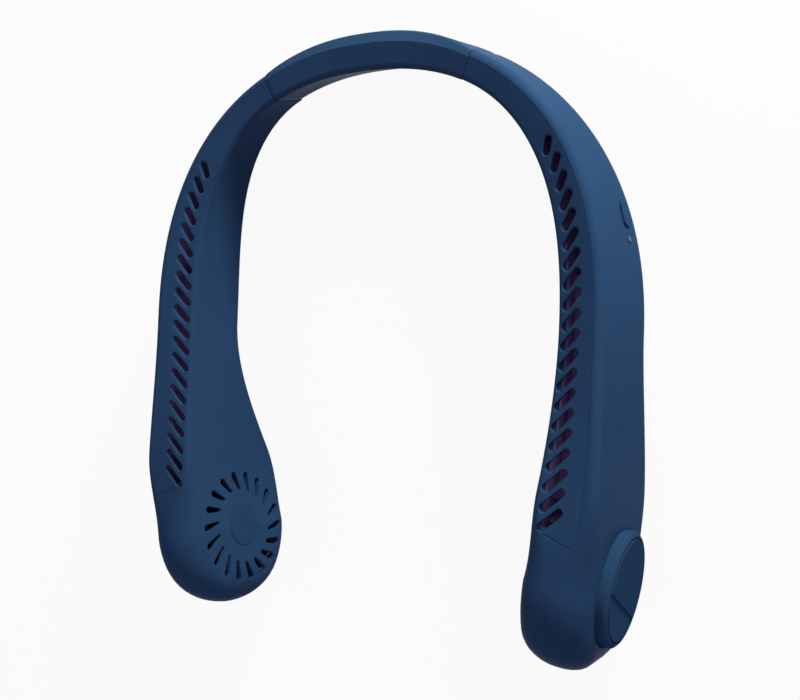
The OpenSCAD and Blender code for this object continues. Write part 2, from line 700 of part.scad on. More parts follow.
// Scroll: a wall that opens out round the impeller, from the tongue round to the front
impeller_r = bulb_d / 2 - wall - impeller_room;
blade_in_r = impeller_r - blade_w;
tongue_a = 38;
scroll_turn = 300;
function scroll_r(i) = impeller_r + scroll_gap + scroll_grow * i / 20;
module scroll() {
    intersection() {
        loft(body_rings(wall + seat_gap, 3, 1.4));
        on_axis(seat_u) linear_extrude(height = bulb_d, convexity = 4)
            polygon(concat(
                [for (i = [0:20]) polar(scroll_r(i), 90 - tongue_a + scroll_turn * i / 20)],
                [for (i = [20:-1:0]) polar(scroll_r(i) + scroll_t, 90 - tongue_a + scroll_turn * i / 20)]
            ));
    }
}
module impeller() {
    on_axis(seat_u - impeller_off) {
        ring(impeller_r, can_r + seat_gap / 2, impeller_t);
        ring(can_r + impeller_t, can_r + seat_gap / 2, hub_l);
        translate([0, 0, hub_l]) ring(can_r + impeller_t, shaft_r, impeller_t);
        translate([0, 0, impeller_t + blade_l]) ring(impeller_r, blade_in_r, impeller_t);
        for (i = [0:blade_n - 1])
            rotate([0, 0, 360 * i / blade_n]) linear_extrude(height = blade_l + 1.5 * impeller_t)
                polygon(concat(
                    [for (j = [0:2]) blade_point(j, 1)],
                    [for (j = [2:-1:0]) blade_point(j, -1)]
                ));
    }
}
function blade_point(j, side) = let (r = mix(blade_in_r, impeller_r - seat_gap, j / 2))
    polar(r, -blade_lean * j * j / 12 + side * blade_t / r * 90 / PI);
tube_h = base_t + 2 * winding_h + stator_h + bearing_l / 2;
can_h = tube_h + can_t + air_gap - can_off;
hub_l = can_off + can_h - impeller_off + seat_gap;
module rotor_can() {
    on_axis(seat_u - can_off) {
        ring(can_r, can_r - can_t, can_h);
        translate([0, 0, can_h - can_t]) ring(can_r, shaft_r, can_t);
    }
}
module magnet_ring() on_axis(seat_u - can_off - winding_h) ring(can_r - can_t, can_r - can_t - magnet_t, stator_h);
module shaft() on_axis(seat_u - base_t) cylinder(h = can_off + can_h - base_t + impeller_t + seat_gap, r = shaft_r, $fn = 24);
stator_z = can_off + winding_h;
stator_r = can_r - can_t - magnet_t - air_gap;
module stator_core() {
    on_axis(seat_u - stator_z) {
        ring(bearing_r + 2 * tube_t, bearing_r + tube_t, stator_h);
        for (i = [0:tooth_n - 1]) rotate([0, 0, 360 * i / tooth_n]) {
            translate([bearing_r + 1.5 * tube_t, -tube_t, 0])
                cube([stator_r - bearing_r - 2.5 * tube_t, 2 * tube_t, stator_h]);
            intersection() {
                ring(stator_r, stator_r - tube_t, stator_h);
                translate([0, -1.5 * bearing_r, 0]) cube([stator_r + overrun, 3 * bearing_r, stator_h]);
            }
        }
    }
}
// A coil ends where its corners meet the curved shoe of its tooth
coil_end = sqrt(pow(stator_r - tube_t, 2) - pow(tube_t + winding_h, 2)) - seat_gap;
coil_x = bearing_r + 2 * tube_t + seat_gap;
module windings() {
    on_axis(seat_u - stator_z + winding_h)
        for (i = [0:tooth_n - 1]) rotate([0, 0, 360 * i / tooth_n])
            translate([coil_x, 0, 0]) difference() {
                translate([0, -tube_t - winding_h, 0])
                    cube([coil_end - coil_x, 2 * tube_t + 2 * winding_h, stator_h + 2 * winding_h]);
                translate([-overrun, -tube_t, winding_h])
                    cube([stator_r, 2 * tube_t, stator_h]);
            }
}
module bearings() {
    for (h = [base_t + overrun / 2, tube_h - bearing_l])
        on_axis(seat_u - h) ring(bearing_r, shaft_r + run_gap, bearing_l);
}
module motor_base() {
    on_axis(seat_u) difference() {
        union() {
            cylinder(h = base_t, r = base_r, $fn = 48);
            cylinder(h = tube_h, r = bearing_r + tube_t, $fn = 32);
        }
        translate([0, 0, base_t / 2]) cylinder(h = tube_h, r = bearing_r, $fn = 32);
        for (i = [0:2]) rotate([0, 0, 120 * i + 30])
            translate([screw_circle_r, 0, -overrun]) cylinder(h = base_t + 2 * overrun, r = screw_r, $fn = 16);
    }
}
module motor_screws() {
    motor_screw_places() {
        translate([0, 0, -screw_head_h]) cylinder(h = screw_head_h, r = screw_head_r, $fn = 24);
        cylinder(h = motor_seat_t + base_t, r = screw_r, $fn = 16);
    }
}

// Battery, and the carrier: the floor of the air duct with ribs that hold the battery
battery_y = -battery_l / 6;
battery_x = frame_w / 2 - arm_front_w / 3;
battery_z = -divider_z - divider_t - seat_gap - battery_d / 2;
module battery_block(gap) {
    r = battery_round;
    translate([battery_x, battery_y + battery_l / 2 + gap, battery_z])
    rotate([90, 0, 0])
    linear_extrude(height = battery_l + 2 * gap)
    hull_rect(battery_t + 2 * gap, battery_d + 2 * gap, r);
}
module hull_rect(w, h, r) {
    square([w - 2 * r, h], center = true);
    square([w, h - 2 * r], center = true);
    for (x = [-1, 1]) for (y = [-1, 1])
        translate([x * (w / 2 - r), y * (h / 2 - r)]) circle(r = r, $fn = 24);
}
module battery() battery_block(0);
module carrier() {
    rib_l = 2 * divider_t;
    difference() {
        intersection() {
            loft([for (s = arm_stations) if (s > 0.7 && s < 1.9) arm_ring(s, wall + seat_gap, 3)]);
            union() {
                translate([0, battery_y - battery_l, -divider_z - divider_t])
                    cube([frame_w, 1.5 * battery_l + rib_l, divider_t]);
                for (i = [-1, 0, 1])
                    translate([0, battery_y + i * (battery_l / 2 - divider_t) - divider_t, -bulb_d])
                    cube([frame_w, rib_l, bulb_d - divider_z]);
            }
        }
        battery_block(seat_gap);
        scroll_clear();
    }
}
module scroll_clear() {
    on_axis(bulb_out) cylinder(h = bulb_d, r = impeller_r + scroll_gap + scroll_t + scroll_grow + seat_gap, $fn = 48);
}

module power_button() color(navy) at_rest() {
    at_controls() {
        on_face(button_h, 0, 0) stadium(button_l, button_w, button_h - flange_x + flange_t);
        on_face(flange_x, 0, 0) stadium(button_l + 2 * flange_t, button_w + 2 * flange_t, flange_t);
        on_face(flange_x - flange_t / 2, 0, 0) cylinder(h = flange_x - flange_t / 2 - nub_x, r = button_w / 3, $fn = 24);
    }
}
module tact_switch() color(black) at_rest() {
    at_controls() {
        translate([board_x, -button_w * 0.7, -button_w * 0.7])
            cube([switch_x - screw_head_h / 2 - board_x, 1.4 * button_w, 1.4 * button_w]);
        on_face(switch_x, 0, 0) cylinder(h = screw_head_h, r = button_w / 3, $fn = 24);
    }
}
module control_board() color(green) at_rest() {
    at_controls() difference() {
        union() {
            translate([board_x - board_t, -board_l / 2, board_mid - board_w / 2]) cube([board_t, board_l, board_w]);
            translate([board_x - board_t - wall, -board_l / 3, board_mid - board_w / 6])
                cube([wall, board_l / 5, board_w / 3]);
            translate([board_x - overrun, light_y - light_r, -light_r])
                cube([overrun + light_r, 2 * light_r, 2 * light_r]);
        }
        for (y = [-board_screw_y, board_screw_y])
            on_face(board_x + overrun, y, board_mid) cylinder(h = board_t + 2 * overrun, r = screw_r, $fn = 16);
    }
}
module board_screws() color(steel) at_rest() {
    at_controls()
        for (y = [-board_screw_y, board_screw_y]) translate([board_x - board_t, y, board_mid]) rotate([0, 90, 0]) {
            translate([0, 0, -screw_head_h]) cylinder(h = screw_head_h, r = screw_head_r, $fn = 24);
            cylinder(h = board_t + wall, r = screw_r, $fn = 16);
        }
}
module light_pipe() color(clear) at_rest() {
    at_controls() on_face(seat_gap, light_y, 0) cylinder(h = seat_gap - board_x - light_r - seat_gap, r = light_r, $fn = 24);
}
module charging_port() color(steel) at_rest() {
    t = board_t / 3;
    at_controls() translate([port_x, port_y, port_z]) {
        difference() {
            stadium(port_w, port_h, port_l);
            translate([0, 0, -overrun]) stadium(port_w - 2 * t, port_h - 2 * t, port_l - t + overrun);
        }
        translate([-t, -port_w / 3, overrun]) cube([2 * t, port_w * 2 / 3, port_l - overrun]);
    }
}

module sleeve() {
    difference() {
        loft(sleeve_rings);
        neck_arc(neck_a + plug_a) polygon(drawn_in(neck_low, sleeve_wall));
    }
}
module strip() {
    difference() {
        neck_arc(strip_a - asin(seat_gap / neck_r)) polygon(slanted(neck_mid, neck_run, strip_w, strip_t));
        strip_pin_place(seat_gap / 4);
        mirror([1, 0, 0]) strip_pin_place(seat_gap / 4);
    }
}
module cable() neck_arc(strip_a + plug_a - asin(seat_gap / neck_r)) translate(cable_at) circle(r = cable_r, $fn = 16);

module left_outer_shell() color(navy) left_side() outer_shell();
module left_inner_shell() color(navy) left_side() inner_shell();
module left_louvre_panel() color(navy) left_side() louvre_panel();
module left_cap_ring() color(navy) left_side() cap_ring();
module left_cap_face() color(navy) left_side() cap_face();
module left_grille_cap() color(navy) left_side() grille_cap();
module left_scroll() color(navy_dark) left_side() scroll();
module left_impeller() color(black) left_side() impeller();
module left_rotor_can() color(steel) left_side() rotor_can();
module left_magnet_ring() color(black) left_side() magnet_ring();
module left_shaft() color(steel) left_side() shaft();
module left_stator_core() color(steel) left_side() stator_core();
module left_windings() color(copper) left_side() windings();
module left_bearings() color(steel) left_side() bearings();
module left_motor_base() color(black) left_side() motor_base();
module left_motor_screws() color(steel) left_side() motor_screws();
module left_battery() color(foil) left_side() battery();
module left_carrier() color(navy_dark) left_side() carrier();
module left_strip_pin() color(steel) left_side() strip_pin_place(0);
module right_outer_shell() color(navy) at_rest() {
    difference() {
        outer_shell();
        controls_cuts();
    }
    board_posts();
}
module right_inner_shell() color(navy) at_rest() difference() {
    inner_shell();
    controls_cuts();
}
module right_louvre_panel() color(navy) at_rest() louvre_panel();
module right_cap_ring() color(navy) at_rest() cap_ring();
module right_cap_face() color(navy) at_rest() cap_face();
module right_grille_cap() color(navy) at_rest() grille_cap();
module right_scroll() color(navy_dark) at_rest() scroll();
module right_impeller() color(black) at_rest() impeller();
module right_rotor_can() color(steel) at_rest() rotor_can();
module right_magnet_ring() color(black) at_rest() magnet_ring();
module right_shaft() color(steel) at_rest() shaft();
module right_stator_core() color(steel) at_rest() stator_core();
module right_windings() color(copper) at_rest() windings();
module right_bearings() color(steel) at_rest() bearings();
module right_motor_base() color(black) at_rest() motor_base();
module right_motor_screws() color(steel) at_rest() motor_screws();
module right_battery() color(foil) at_rest() battery();
module right_carrier() color(navy_dark) at_rest() carrier();
module right_strip_pin() color(steel) at_rest() strip_pin_place(0);
module neck_sleeve() color(navy) at_rest() sleeve();
module spring_strip() color(steel) at_rest() strip();
module link_cable() color(black) at_rest() cable();

left_outer_shell();
left_inner_shell();
left_louvre_panel();
left_cap_ring();
left_cap_face();
left_grille_cap();
left_scroll();
left_impeller();
left_rotor_can();
left_magnet_ring();
left_shaft();
left_stator_core();
left_windings();
left_bearings();
left_motor_base();
left_motor_screws();
left_battery();
left_carrier();
left_strip_pin();
neck_sleeve();
spring_strip();
link_cable();
right_outer_shell();
right_inner_shell();
right_louvre_panel();
right_cap_ring();
right_cap_face();
right_grille_cap();
right_scroll();
right_impeller();
right_rotor_can();
right_magnet_ring();
right_shaft();
right_stator_core();
right_windings();
right_bearings();
right_motor_base();
right_motor_screws();
right_battery();
right_carrier();
right_strip_pin();
control_board();
tact_switch();
power_button();
light_pipe();
charging_port();
board_screws();
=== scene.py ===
"""Electric neck fan: two moulded arms with a blower in each bulb, joined by a soft neck sleeve.

Sizes are in millimetres in the fan's own plane, as in the part's source: X across, Y towards the
neck and Z out of the louvred front. at_rest() lays the fan down and turns them into metres.
"""

import json
import math

import bmesh
import bpy
import numpy as np
from mathutils import Matrix, Vector

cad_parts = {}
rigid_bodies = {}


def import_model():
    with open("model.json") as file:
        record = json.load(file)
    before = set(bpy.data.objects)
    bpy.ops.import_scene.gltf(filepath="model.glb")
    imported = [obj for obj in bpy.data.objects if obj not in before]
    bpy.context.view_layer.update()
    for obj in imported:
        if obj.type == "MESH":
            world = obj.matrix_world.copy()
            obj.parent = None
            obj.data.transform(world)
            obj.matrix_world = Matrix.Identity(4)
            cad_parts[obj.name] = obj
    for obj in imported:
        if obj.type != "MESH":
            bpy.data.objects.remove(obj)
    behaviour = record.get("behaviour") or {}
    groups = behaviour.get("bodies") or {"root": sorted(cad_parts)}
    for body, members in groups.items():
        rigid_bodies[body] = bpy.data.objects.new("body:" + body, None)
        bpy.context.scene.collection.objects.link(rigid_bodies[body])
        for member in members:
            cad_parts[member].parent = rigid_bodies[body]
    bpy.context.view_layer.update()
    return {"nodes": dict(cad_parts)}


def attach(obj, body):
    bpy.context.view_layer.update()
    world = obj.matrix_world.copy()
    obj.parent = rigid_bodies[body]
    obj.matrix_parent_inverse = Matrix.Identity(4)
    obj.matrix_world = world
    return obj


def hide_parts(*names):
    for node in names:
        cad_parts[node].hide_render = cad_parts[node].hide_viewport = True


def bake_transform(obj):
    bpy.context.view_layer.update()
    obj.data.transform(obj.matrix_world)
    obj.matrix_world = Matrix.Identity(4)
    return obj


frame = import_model()

# A millimetre in metres
MM = 0.001

# Frame of the fan
FRAME_W = 168
ARCH_H = 91
LEG_L = 78
LEG_TUCK = 3.4
ARCH_POWER = 2.3
SWELL_POWER = 1.6
BAND_END = 0.28

# Sections of the neck and of the arms
NECK_FRONT_W = 7.4
NECK_D = 22.6
NECK_DROP = 2.6
NECK_LEAN = 5.4
NECK_FLARE = 5.5
SLEEVE_BULGE = 1
SLEEVE_EDGE = 4.2
SLEEVE_FALL = 1.8
ARM_FRONT_W = 12.6
ARM_D = 32
ARM_DROP = 4
ARM_LEAN = 1
ARM_FLARE = 8.2
WAIST = 0.6
WAIST_SHARE = 0.64
SEAM_EDGE = 2.4
BACK_RISE = 2
NECK_ROUNDS = (0.18, 0.22, 0.35, 0.22)
ARM_ROUNDS = (0.18, 0.24, 0.65, 0.25)
SLEEVE_ROUNDS = (0.18, 0.03, 0.14, 0.35, 0.22)
SLEEVE_BACK_SHARE = 0.7
RIM_START = 0.62

# Bulb with its cap and its grille
BULB_D = 56
BULB_IN = 19.6
BULB_OUT = 3.8
BULB_RISE = 1.5
BULB_TURN = 3
BULB_ROUND = 11
BULB_Z = BULB_RISE - BULB_D / 2
CAP_R = 18.2
CAP_FACE_R = 16
CAP_H = 3.6
CAP_SEAT = 1.2
CAP_FACE_T = 1.4
CAP_FACE_GAP = 0.1
CAP_FACE_SINK = 0.1
CAP_FACE_CURVE = 0.3
CAP_LIP_GAP = 0.25
CAP_LIP_SINK = 0.35
CAP_SHELF_W = 2.2
CAP_BEVEL_W = 1.1
CAP_BEVEL_FOOT = 1.3
CAP_CURVES = {2: 0.7, 3: 0.35, 4: 0.12}
FACET_OFF = 5
FACET_D = 0.45
FACET_TURN = 245
GRILLE_R = 20.6
GRILLE_HUB_R = 13
GRILLE_N = 18
GRILLE_SLOT_W = 2.6
GRILLE_SLOT_IN_W = 1.4
GRILLE_SWIRL = 20
GRILLE_TURN = 6
GRILLE_CAP_R = 7.2
GRILLE_CAP_D = 1
GRILLE_CAP_PROUD = 0.1
GRILLE_CAP_CURVE = 0.25
MOTOR_SEAT_R = 14.7
MOTOR_SEAT_T = 2.8

# Walls, seams and louvres
WALL = 1.8
PANEL_T = 1.2
LEDGE_W = 1.5
LOUVRE_N = 20
LOUVRE_W = 2.6
LOUVRE_LENGTHS = (3.4, 5.7, 7.6)
LOUVRE_INSETS = (5.3, 9.9, 12.2)
LOUVRE_SLANT = 45
LOUVRE_START = 0.616
LOUVRE_END = 0.762
PANEL_END = 0.825
PANEL_END_SLANT = 18
SOLID_SHARE = 0.36
SEAM = 0.04
HALF_SEAM = 0.02

# The panel's slanted end: room before it, as shares of the leg, and its width past the last louvre
PANEL_END_ROOM = 0.06
OPENING_END_ROOM = 1 / 9
SLANT_MARGIN = 1

# Cutters: how far they run past what they cut, the flare of their rims and their depths
OVERRUN = 1
SLOT_OVERRUN = 1.2
LOUVRE_RIM, LOUVRE_CUT = 0.5, 4.5
GRILLE_RIM, GRILLE_CUT = 0.4, 6
ROUND_MARGIN = 0.1
ROUND_LIMIT_SHARE = 0.95
CAP_SEAT_GAP, CAP_SEAT_EDGE, CAP_SEAT_RIM, CAP_SEAT_CUT = 0.25, 0.3, 0.6, 8
DISC_SEAT_GAP, DISC_SEAT_EDGE, DISC_SEAT_RIM, DISC_SEAT_CUT = 0.1, 0.2, 0.35, 6
MOTOR_SEAT_CUT = 4
ZONE_START = BAND_END - 0.08
HALF_STARTS = [BAND_END - 0.12, BAND_END - 0.06]
HALF_ENDS = [2.2, 2.5]

# Grooves along the seams: two half widths and a depth
LENGTH_GROOVE = (0.4, 0.2, 0.14)
CROSS_GROOVE = (0.2, 0.2, 0.12)
CREASE_GROOVE = (0.25, 0.12, 0.18)
CROSS_START, CROSS_STEPS = 0.04, 9
CREASE_SINK = 0.05
CREASE_START, CREASE_END, CREASE_STEPS = 0.01, 1.02, 50

# Neck band
SLEEVE_STEP = 0.1
SLEEVE_RISE = 2
SLEEVE_WALL = 2.16
JOINT_GAP = 0.25
STRIP_T = 0.6
STRIP_W = 9
STRIP_END_GAP = 1.2
CABLE_R = 0.9
TUCK_STEPS, TUCK = 4, 0.2
FIRST_STEP = 0.25

# Controls
CONTROLS_SHARE = 0.79
CONTROL_DROP = 4.5
BUTTON_L = 8
BUTTON_W = 3.2
BUTTON_PLAY = 0.1
LIGHT_R = 0.9
LIGHT_PLAY = 0.05
CONTROL_RIM = 0.12
CONTROL_LIFT = 0.02
CONTROL_CUT = 6
PORT_X, PORT_Y = -8.2, 8.5
PORT_L, PORT_W = 9.2, 3.4
PORT_RIM, PORT_LIFT = 0.3, 0.1
PORT_CUT = 8

# Steps along the arms and the sleeve, and round corners, slots and turned pieces
ARCH_STEPS, LEG_STEPS = 72, 60
SLEEVE_STEPS, HOLLOW_STEPS = 64, 40
STRIP_STEPS, CABLE_STEPS, CABLE_SIDES = 64, 72, 16
SKIN_CURVE, CAVITY_CURVE = 10, 6
SOURCE_STEPS, SOURCE_CURVE = 9, 4
SLOT_STEPS, CONTROL_STEPS = 10, 12
ROW_SAMPLES = 81
BORE_STEPS, TURN_STEPS = 128, 144
PROFILE_CURVE = 5
SHARP_ANGLE = 32

# Camera, as fitted to the photograph, and the stage
CAMERA_AT = (203.7, -9.7, 301.1)
CAMERA_AHEAD = (-0.5218, 0.0053, -0.8531)
CAMERA_UP = (-0.0291, 0.9993, 0.0240)
FLOOR_SIZE, FLOOR_GAP = 12, 0.0002
FLOOR_GLOW = 0.93


def mix(a, b, t):
    return a + (b - a) * t


def smooth(t):
    c = min(max(t, 0.0), 1.0)
    return c * c * (3 - 2 * c)


def unit(v):
    return v / np.linalg.norm(v)


def turned(v, a):
    return np.array([v[0] * math.cos(a) - v[1] * math.sin(a), v[0] * math.sin(a) + v[1] * math.cos(a)])


def polar(r, a):
    return np.array([r * math.cos(a), r * math.sin(a)])


def rail(s):
    """The right arm's seam line: 0 in the middle of the neck, 1 at the widest line, 2 at the bulb axis."""
    if s > 1:
        return np.array([FRAME_W / 2 - LEG_TUCK * (s - 1) ** 3, -LEG_L * (s - 1)])
    q = math.radians(90 * s)
    return np.array([FRAME_W / 2 * math.sin(q) ** (2 / ARCH_POWER), ARCH_H * math.cos(q) ** (2 / ARCH_POWER)])


def outward(s):
    """Angle at which the outward side of the seam line points."""
    if s >= 1:
        return -math.atan2(3 * LEG_TUCK * (s - 1) ** 2, LEG_L)
    q = math.radians(90 * s)
    e = 2 - 2 / ARCH_POWER
    return math.atan2(math.cos(q) ** e / ARCH_H, math.sin(q) ** e * 2 / FRAME_W)


def plan(s, u):
    """The place at a distance u out from the seam line."""
    return rail(s) + polar(u, outward(s))


def bulb_point(u, h):
    return turned((u, h), -math.radians(BULB_TURN)) + np.array([0, BULB_Z])


NECK_PROFILE = [
    (-NECK_FRONT_W, -NECK_DROP),
    (SEAM_EDGE, 0),
    (NECK_FLARE, BACK_RISE - NECK_D),
    (NECK_LEAN - NECK_FRONT_W, -NECK_D),
]
ARM_PROFILE = [
    (-ARM_FRONT_W, -ARM_DROP),
    (SEAM_EDGE, 0),
    (ARM_FLARE, BACK_RISE - ARM_D),
    (ARM_LEAN - ARM_FRONT_W, -ARM_D),
]
BULB_PROFILE = [
    bulb_point(-BULB_IN, BULB_D / 2),
    bulb_point(BULB_OUT, BULB_D / 2),
    bulb_point(BULB_OUT, -BULB_D / 2),
    bulb_point(-BULB_IN, -BULB_D / 2),
]


def along(s):
    """How far the section has turned from the neck's into the arm's."""
    return smooth((s - BAND_END) / (1 - BAND_END))


def corners(s):
    """Corners of the section at a station: inner front, outer front, outer back and inner back."""
    arm = along(s)
    bulb = smooth(s - 1)
    swell = min(max(s - 1, 0), 1) ** SWELL_POWER
    dip = max(0, 1 - ((s - WAIST_SHARE) / (1 - WAIST_SHARE)) ** 2) * WAIST
    out = []
    for i in range(4):
        x = mix(NECK_PROFILE[i][0], ARM_PROFILE[i][0], arm) - (dip if i == 2 else 0)
        y = mix(NECK_PROFILE[i][1], ARM_PROFILE[i][1], arm)
        share = swell if i in (0, 3) else bulb
        out.append(np.array([mix(x, BULB_PROFILE[i][0], share), mix(y, BULB_PROFILE[i][1], bulb)]))
    return out


def drawn_in(outline, inset):
    """An outline with its sides moved inwards, or outwards where the inset is negative."""
    out = []
    for i, corner in enumerate(outline):
        a = unit(outline[i - 1] - corner)
        b = unit(outline[(i + 1) % len(outline)] - corner)
        out.append(corner + (a + b) * inset / math.sin(math.acos(a @ b)))
    return out


def rounds(s):
    """Radii that round the corners of the section at a station."""
    rim = smooth((s - 1 - RIM_START) / (1 - RIM_START))
    return [mix(mix(neck, arm, along(s)), 1, rim) * BULB_ROUND for neck, arm in zip(NECK_ROUNDS, ARM_ROUNDS)]


def fillet(before, corner, after, radius, steps):
    """Points of the arc that rounds a corner between its neighbours."""
    a, b = unit(before - corner), unit(after - corner)
    half = math.acos(a @ b) / 2
    centre = corner + unit(a + b) * radius / math.sin(half)
    first = corner + a * radius / math.tan(half) - centre
    way = 1 if a[0] * b[1] - a[1] * b[0] < 0 else -1
    return [centre + turned(first, way * (math.pi - 2 * half) * i / steps) for i in range(steps + 1)]


def rounded(outline, radii, steps):
    points = []
    for i, corner in enumerate(outline):
        after = outline[(i + 1) % len(outline)]
        points += fillet(outline[i - 1], corner, after, radii[i], steps)
    return points


def arm_ring(s, inset, steps):
    radii = [max(radius - inset, WALL / 2) for radius in rounds(s)]
    return [(*plan(s, p[0]), p[1]) for p in rounded(drawn_in(corners(s), inset), radii, steps)]


def end_ring(degrees, inset, steps):
    """Ring of the bulb's round end, at an angle past the bulb's axis."""
    angle = math.radians(degrees)
    radius = BULB_D / 2 - inset
    rim = BULB_ROUND - inset
    over = max(0, radius * math.sin(angle) - (radius - rim))
    mid = (BULB_OUT - BULB_IN) / 2
    half_w = (BULB_OUT + BULB_IN) / 2 - inset - rim + math.sqrt(rim * rim - over * over)
    half_h = radius * math.cos(angle)
    inner, outer = mid - half_w, mid + half_w
    box = [np.array(p) for p in ((inner, half_h), (outer, half_h), (outer, -half_h), (inner, -half_h))]
    curve = min(rim, half_h * ROUND_LIMIT_SHARE, half_w * ROUND_LIMIT_SHARE)
    ring = []
    for corner in rounded(box, [curve] * 4, steps):
        p = bulb_point(*corner)
        ring.append((*(rail(2) + turned((p[0], -radius * math.sin(angle)), outward(2))), p[1]))
    return ring


def stations(first, steps_arch, steps_leg):
    """Stations of the arm, from its joint with the neck or a later one to the bulb's axis."""
    arch = [mix(BAND_END, 1, i / steps_arch) for i in range(steps_arch + 1)]
    leg = [1 + i / steps_leg for i in range(1, steps_leg + 1)]
    return [s for s in arch + leg if s >= first]


def body_rings(inset, steps, first, steps_arch, steps_leg, end_angles):
    rings = [arm_ring(s, inset, steps) for s in stations(first, steps_arch, steps_leg)]
    return rings + [end_ring(angle, inset, steps) for angle in end_angles]


# Rest position, worked out as in the part's source from the same coarse rings
SOURCE_ENDS = (16, 32, 46, 58, 69, 79, 86)
SOURCE_TIP = 1.5
NECK_CORNERS = corners(BAND_END)
NECK_END = rail(BAND_END)
NECK_H = ARCH_H + SLEEVE_BULGE
NECK_R = (NECK_END[0] ** 2 + (NECK_H - NECK_END[1]) ** 2) / (NECK_H - NECK_END[1]) / 2
NECK_A = math.asin(NECK_END[0] / NECK_R)
PLUG_A = math.asin(NECK_FRONT_W / NECK_R)


def front_at(section, u):
    """Height of the front face at a distance u out from the seam."""
    inner, outer = section[:2]
    return mix(inner[1], outer[1], (u - inner[0]) / (outer[0] - inner[0]))


def raised(low, high):
    """A back corner, raised along its side by as much as the sleeve is shallower."""
    return mix(low, high, SLEEVE_RISE / (high[1] - low[1]))


NECK_LOW = [
    *NECK_CORNERS[:2],
    raised(NECK_CORNERS[2], NECK_CORNERS[1]),
    raised(NECK_CORNERS[3], NECK_CORNERS[0]),
]
CREASE = np.array([0, front_at(NECK_CORNERS, 0)])
MID_EDGE = CREASE + np.array([SLEEVE_EDGE, -SLEEVE_FALL])
JOINT_EDGE = NECK_CORNERS[1] - np.array([0, SLEEVE_FALL / 2])


def sleeve_ring(share, steps, proud=SLEEVE_STEP):
    """Ring of the sleeve, from the middle of the neck at 0 to its joint with the arm at 1."""
    s = (BAND_END - JOINT_GAP / NECK_R) * share
    bulge = np.array([SLEEVE_BULGE * (1 - share * share), 0])
    edge = mix(MID_EDGE, JOINT_EDGE, share * share) + bulge
    back = NECK_LOW[2] + bulge * SLEEVE_BACK_SHARE
    outline = drawn_in([NECK_LOW[0], CREASE + bulge, edge, back, NECK_LOW[3]], -proud)
    radii = [radius * BULB_ROUND for radius in SLEEVE_ROUNDS]
    return [(*plan(s, p[0]), p[1]) for p in rounded(outline, radii, steps)]


def low_at(lean, rings):
    """Height of the lowest point, once the fan leans by an angle."""
    return min(p[2] * math.cos(lean) - p[1] * math.sin(lean) for ring in rings for p in ring)


source_rings = body_rings(0, SOURCE_CURVE, 0, SOURCE_STEPS, SOURCE_STEPS, SOURCE_ENDS)
source_tips = body_rings(0, SOURCE_CURVE, SOURCE_TIP, SOURCE_STEPS, SOURCE_STEPS, SOURCE_ENDS)
tilt = math.asin((BULB_D - NECK_D) / (LEG_L + ARCH_H))
for _ in range(2):
    tilt += math.atan2(low_at(tilt, source_rings[:1]) - low_at(tilt, source_tips), LEG_L + NECK_END[1])
lift = -low_at(tilt, source_rings)
source_shares = [(i + 0.5) / (SOURCE_STEPS - 0.5) for i in range(SOURCE_STEPS)]
source_sleeve = [sleeve_ring(share, SOURCE_CURVE) for share in source_shares]
ys = [p[1] * math.cos(tilt) + p[2] * math.sin(tilt) for r in source_rings + source_sleeve for p in r]
mid_y = (max(ys) + min(ys)) / 2
ct, st = math.cos(tilt), math.sin(tilt)
REST = np.array([[1, 0, 0], [0, ct, st], [0, -st, ct]])
SHIFT = np.array([0, -mid_y, lift])


def at_rest(points):
    """Points of the fan's own plane, in millimetres, as metres in the rest position."""
    return (np.asarray(points, float) @ REST.T + SHIFT) * MM


def direction(v):
    return Vector(REST @ np.asarray(v, float))


# Camera at the photograph's viewing angle
def make_camera():
    data = bpy.data.cameras.new("view")
    data.lens = 50
    data.sensor_width = 36
    data.clip_start = 0.01
    camera = linked("view", data)
    ahead = direction(CAMERA_AHEAD).normalized()
    up = direction(CAMERA_UP).normalized()
    side = ahead.cross(up).normalized()
    up = side.cross(ahead)
    turn = Matrix((side, up, -ahead)).transposed().to_4x4()
    camera.matrix_world = Matrix.Translation(Vector(at_rest(CAMERA_AT))) @ turn
    bpy.context.scene.camera = camera


# Materials
def feed(tree, node, inputs):
    """Gives inputs of a node a socket to follow or a value to keep."""
    for name, value in inputs.items():
        if isinstance(value, bpy.types.NodeSocket):
            tree.links.new(value, node.inputs[name])
        else:
            node.inputs[name].default_value = value


def add(tree, kind, inputs, **settings):
    """Adds a node to a tree, and returns its outputs."""
    node = tree.nodes.new(kind)
    for name, value in settings.items():
        setattr(node, name, value)
    feed(tree, node, inputs)
    return node.outputs


def shader_tree(name):
    material = bpy.data.materials.new(name)
    material.use_nodes = True
    return material, material.node_tree, material.node_tree.nodes["Principled BSDF"]


def combined(tree, operation, one, other):
    return add(tree, "ShaderNodeMath", {0: one, 1: other}, operation=operation)["Value"]


def own_place(tree):
    """The piece's own coordinates, which its patterns follow."""
    return add(tree, "ShaderNodeTexCoord", {})["Object"]


def noise(tree, scale, detail, roughness=0.5):
    inputs = {"Vector": own_place(tree), "Scale": scale, "Detail": detail, "Roughness": roughness}
    return add(tree, "ShaderNodeTexNoise", inputs)["Fac"]


# The values between which a pattern goes from its low end to its high end
PATTERN_LOW, PATTERN_HIGH = 0.3, 0.7


def ramp(tree, fac, low, high):
    node = tree.nodes.new("ShaderNodeValToRGB")
    first, last = node.color_ramp.elements
    first.position, first.color = PATTERN_LOW, (*low, 1)
    last.position, last.color = PATTERN_HIGH, (*high, 1)
    feed(tree, node, {"Fac": fac})
    return node.outputs["Color"]


def span(tree, fac, low, high):
    limits = {"From Min": PATTERN_LOW, "From Max": PATTERN_HIGH, "To Min": low, "To Max": high}
    return add(tree, "ShaderNodeMapRange", {"Value": fac, **limits})["Result"]


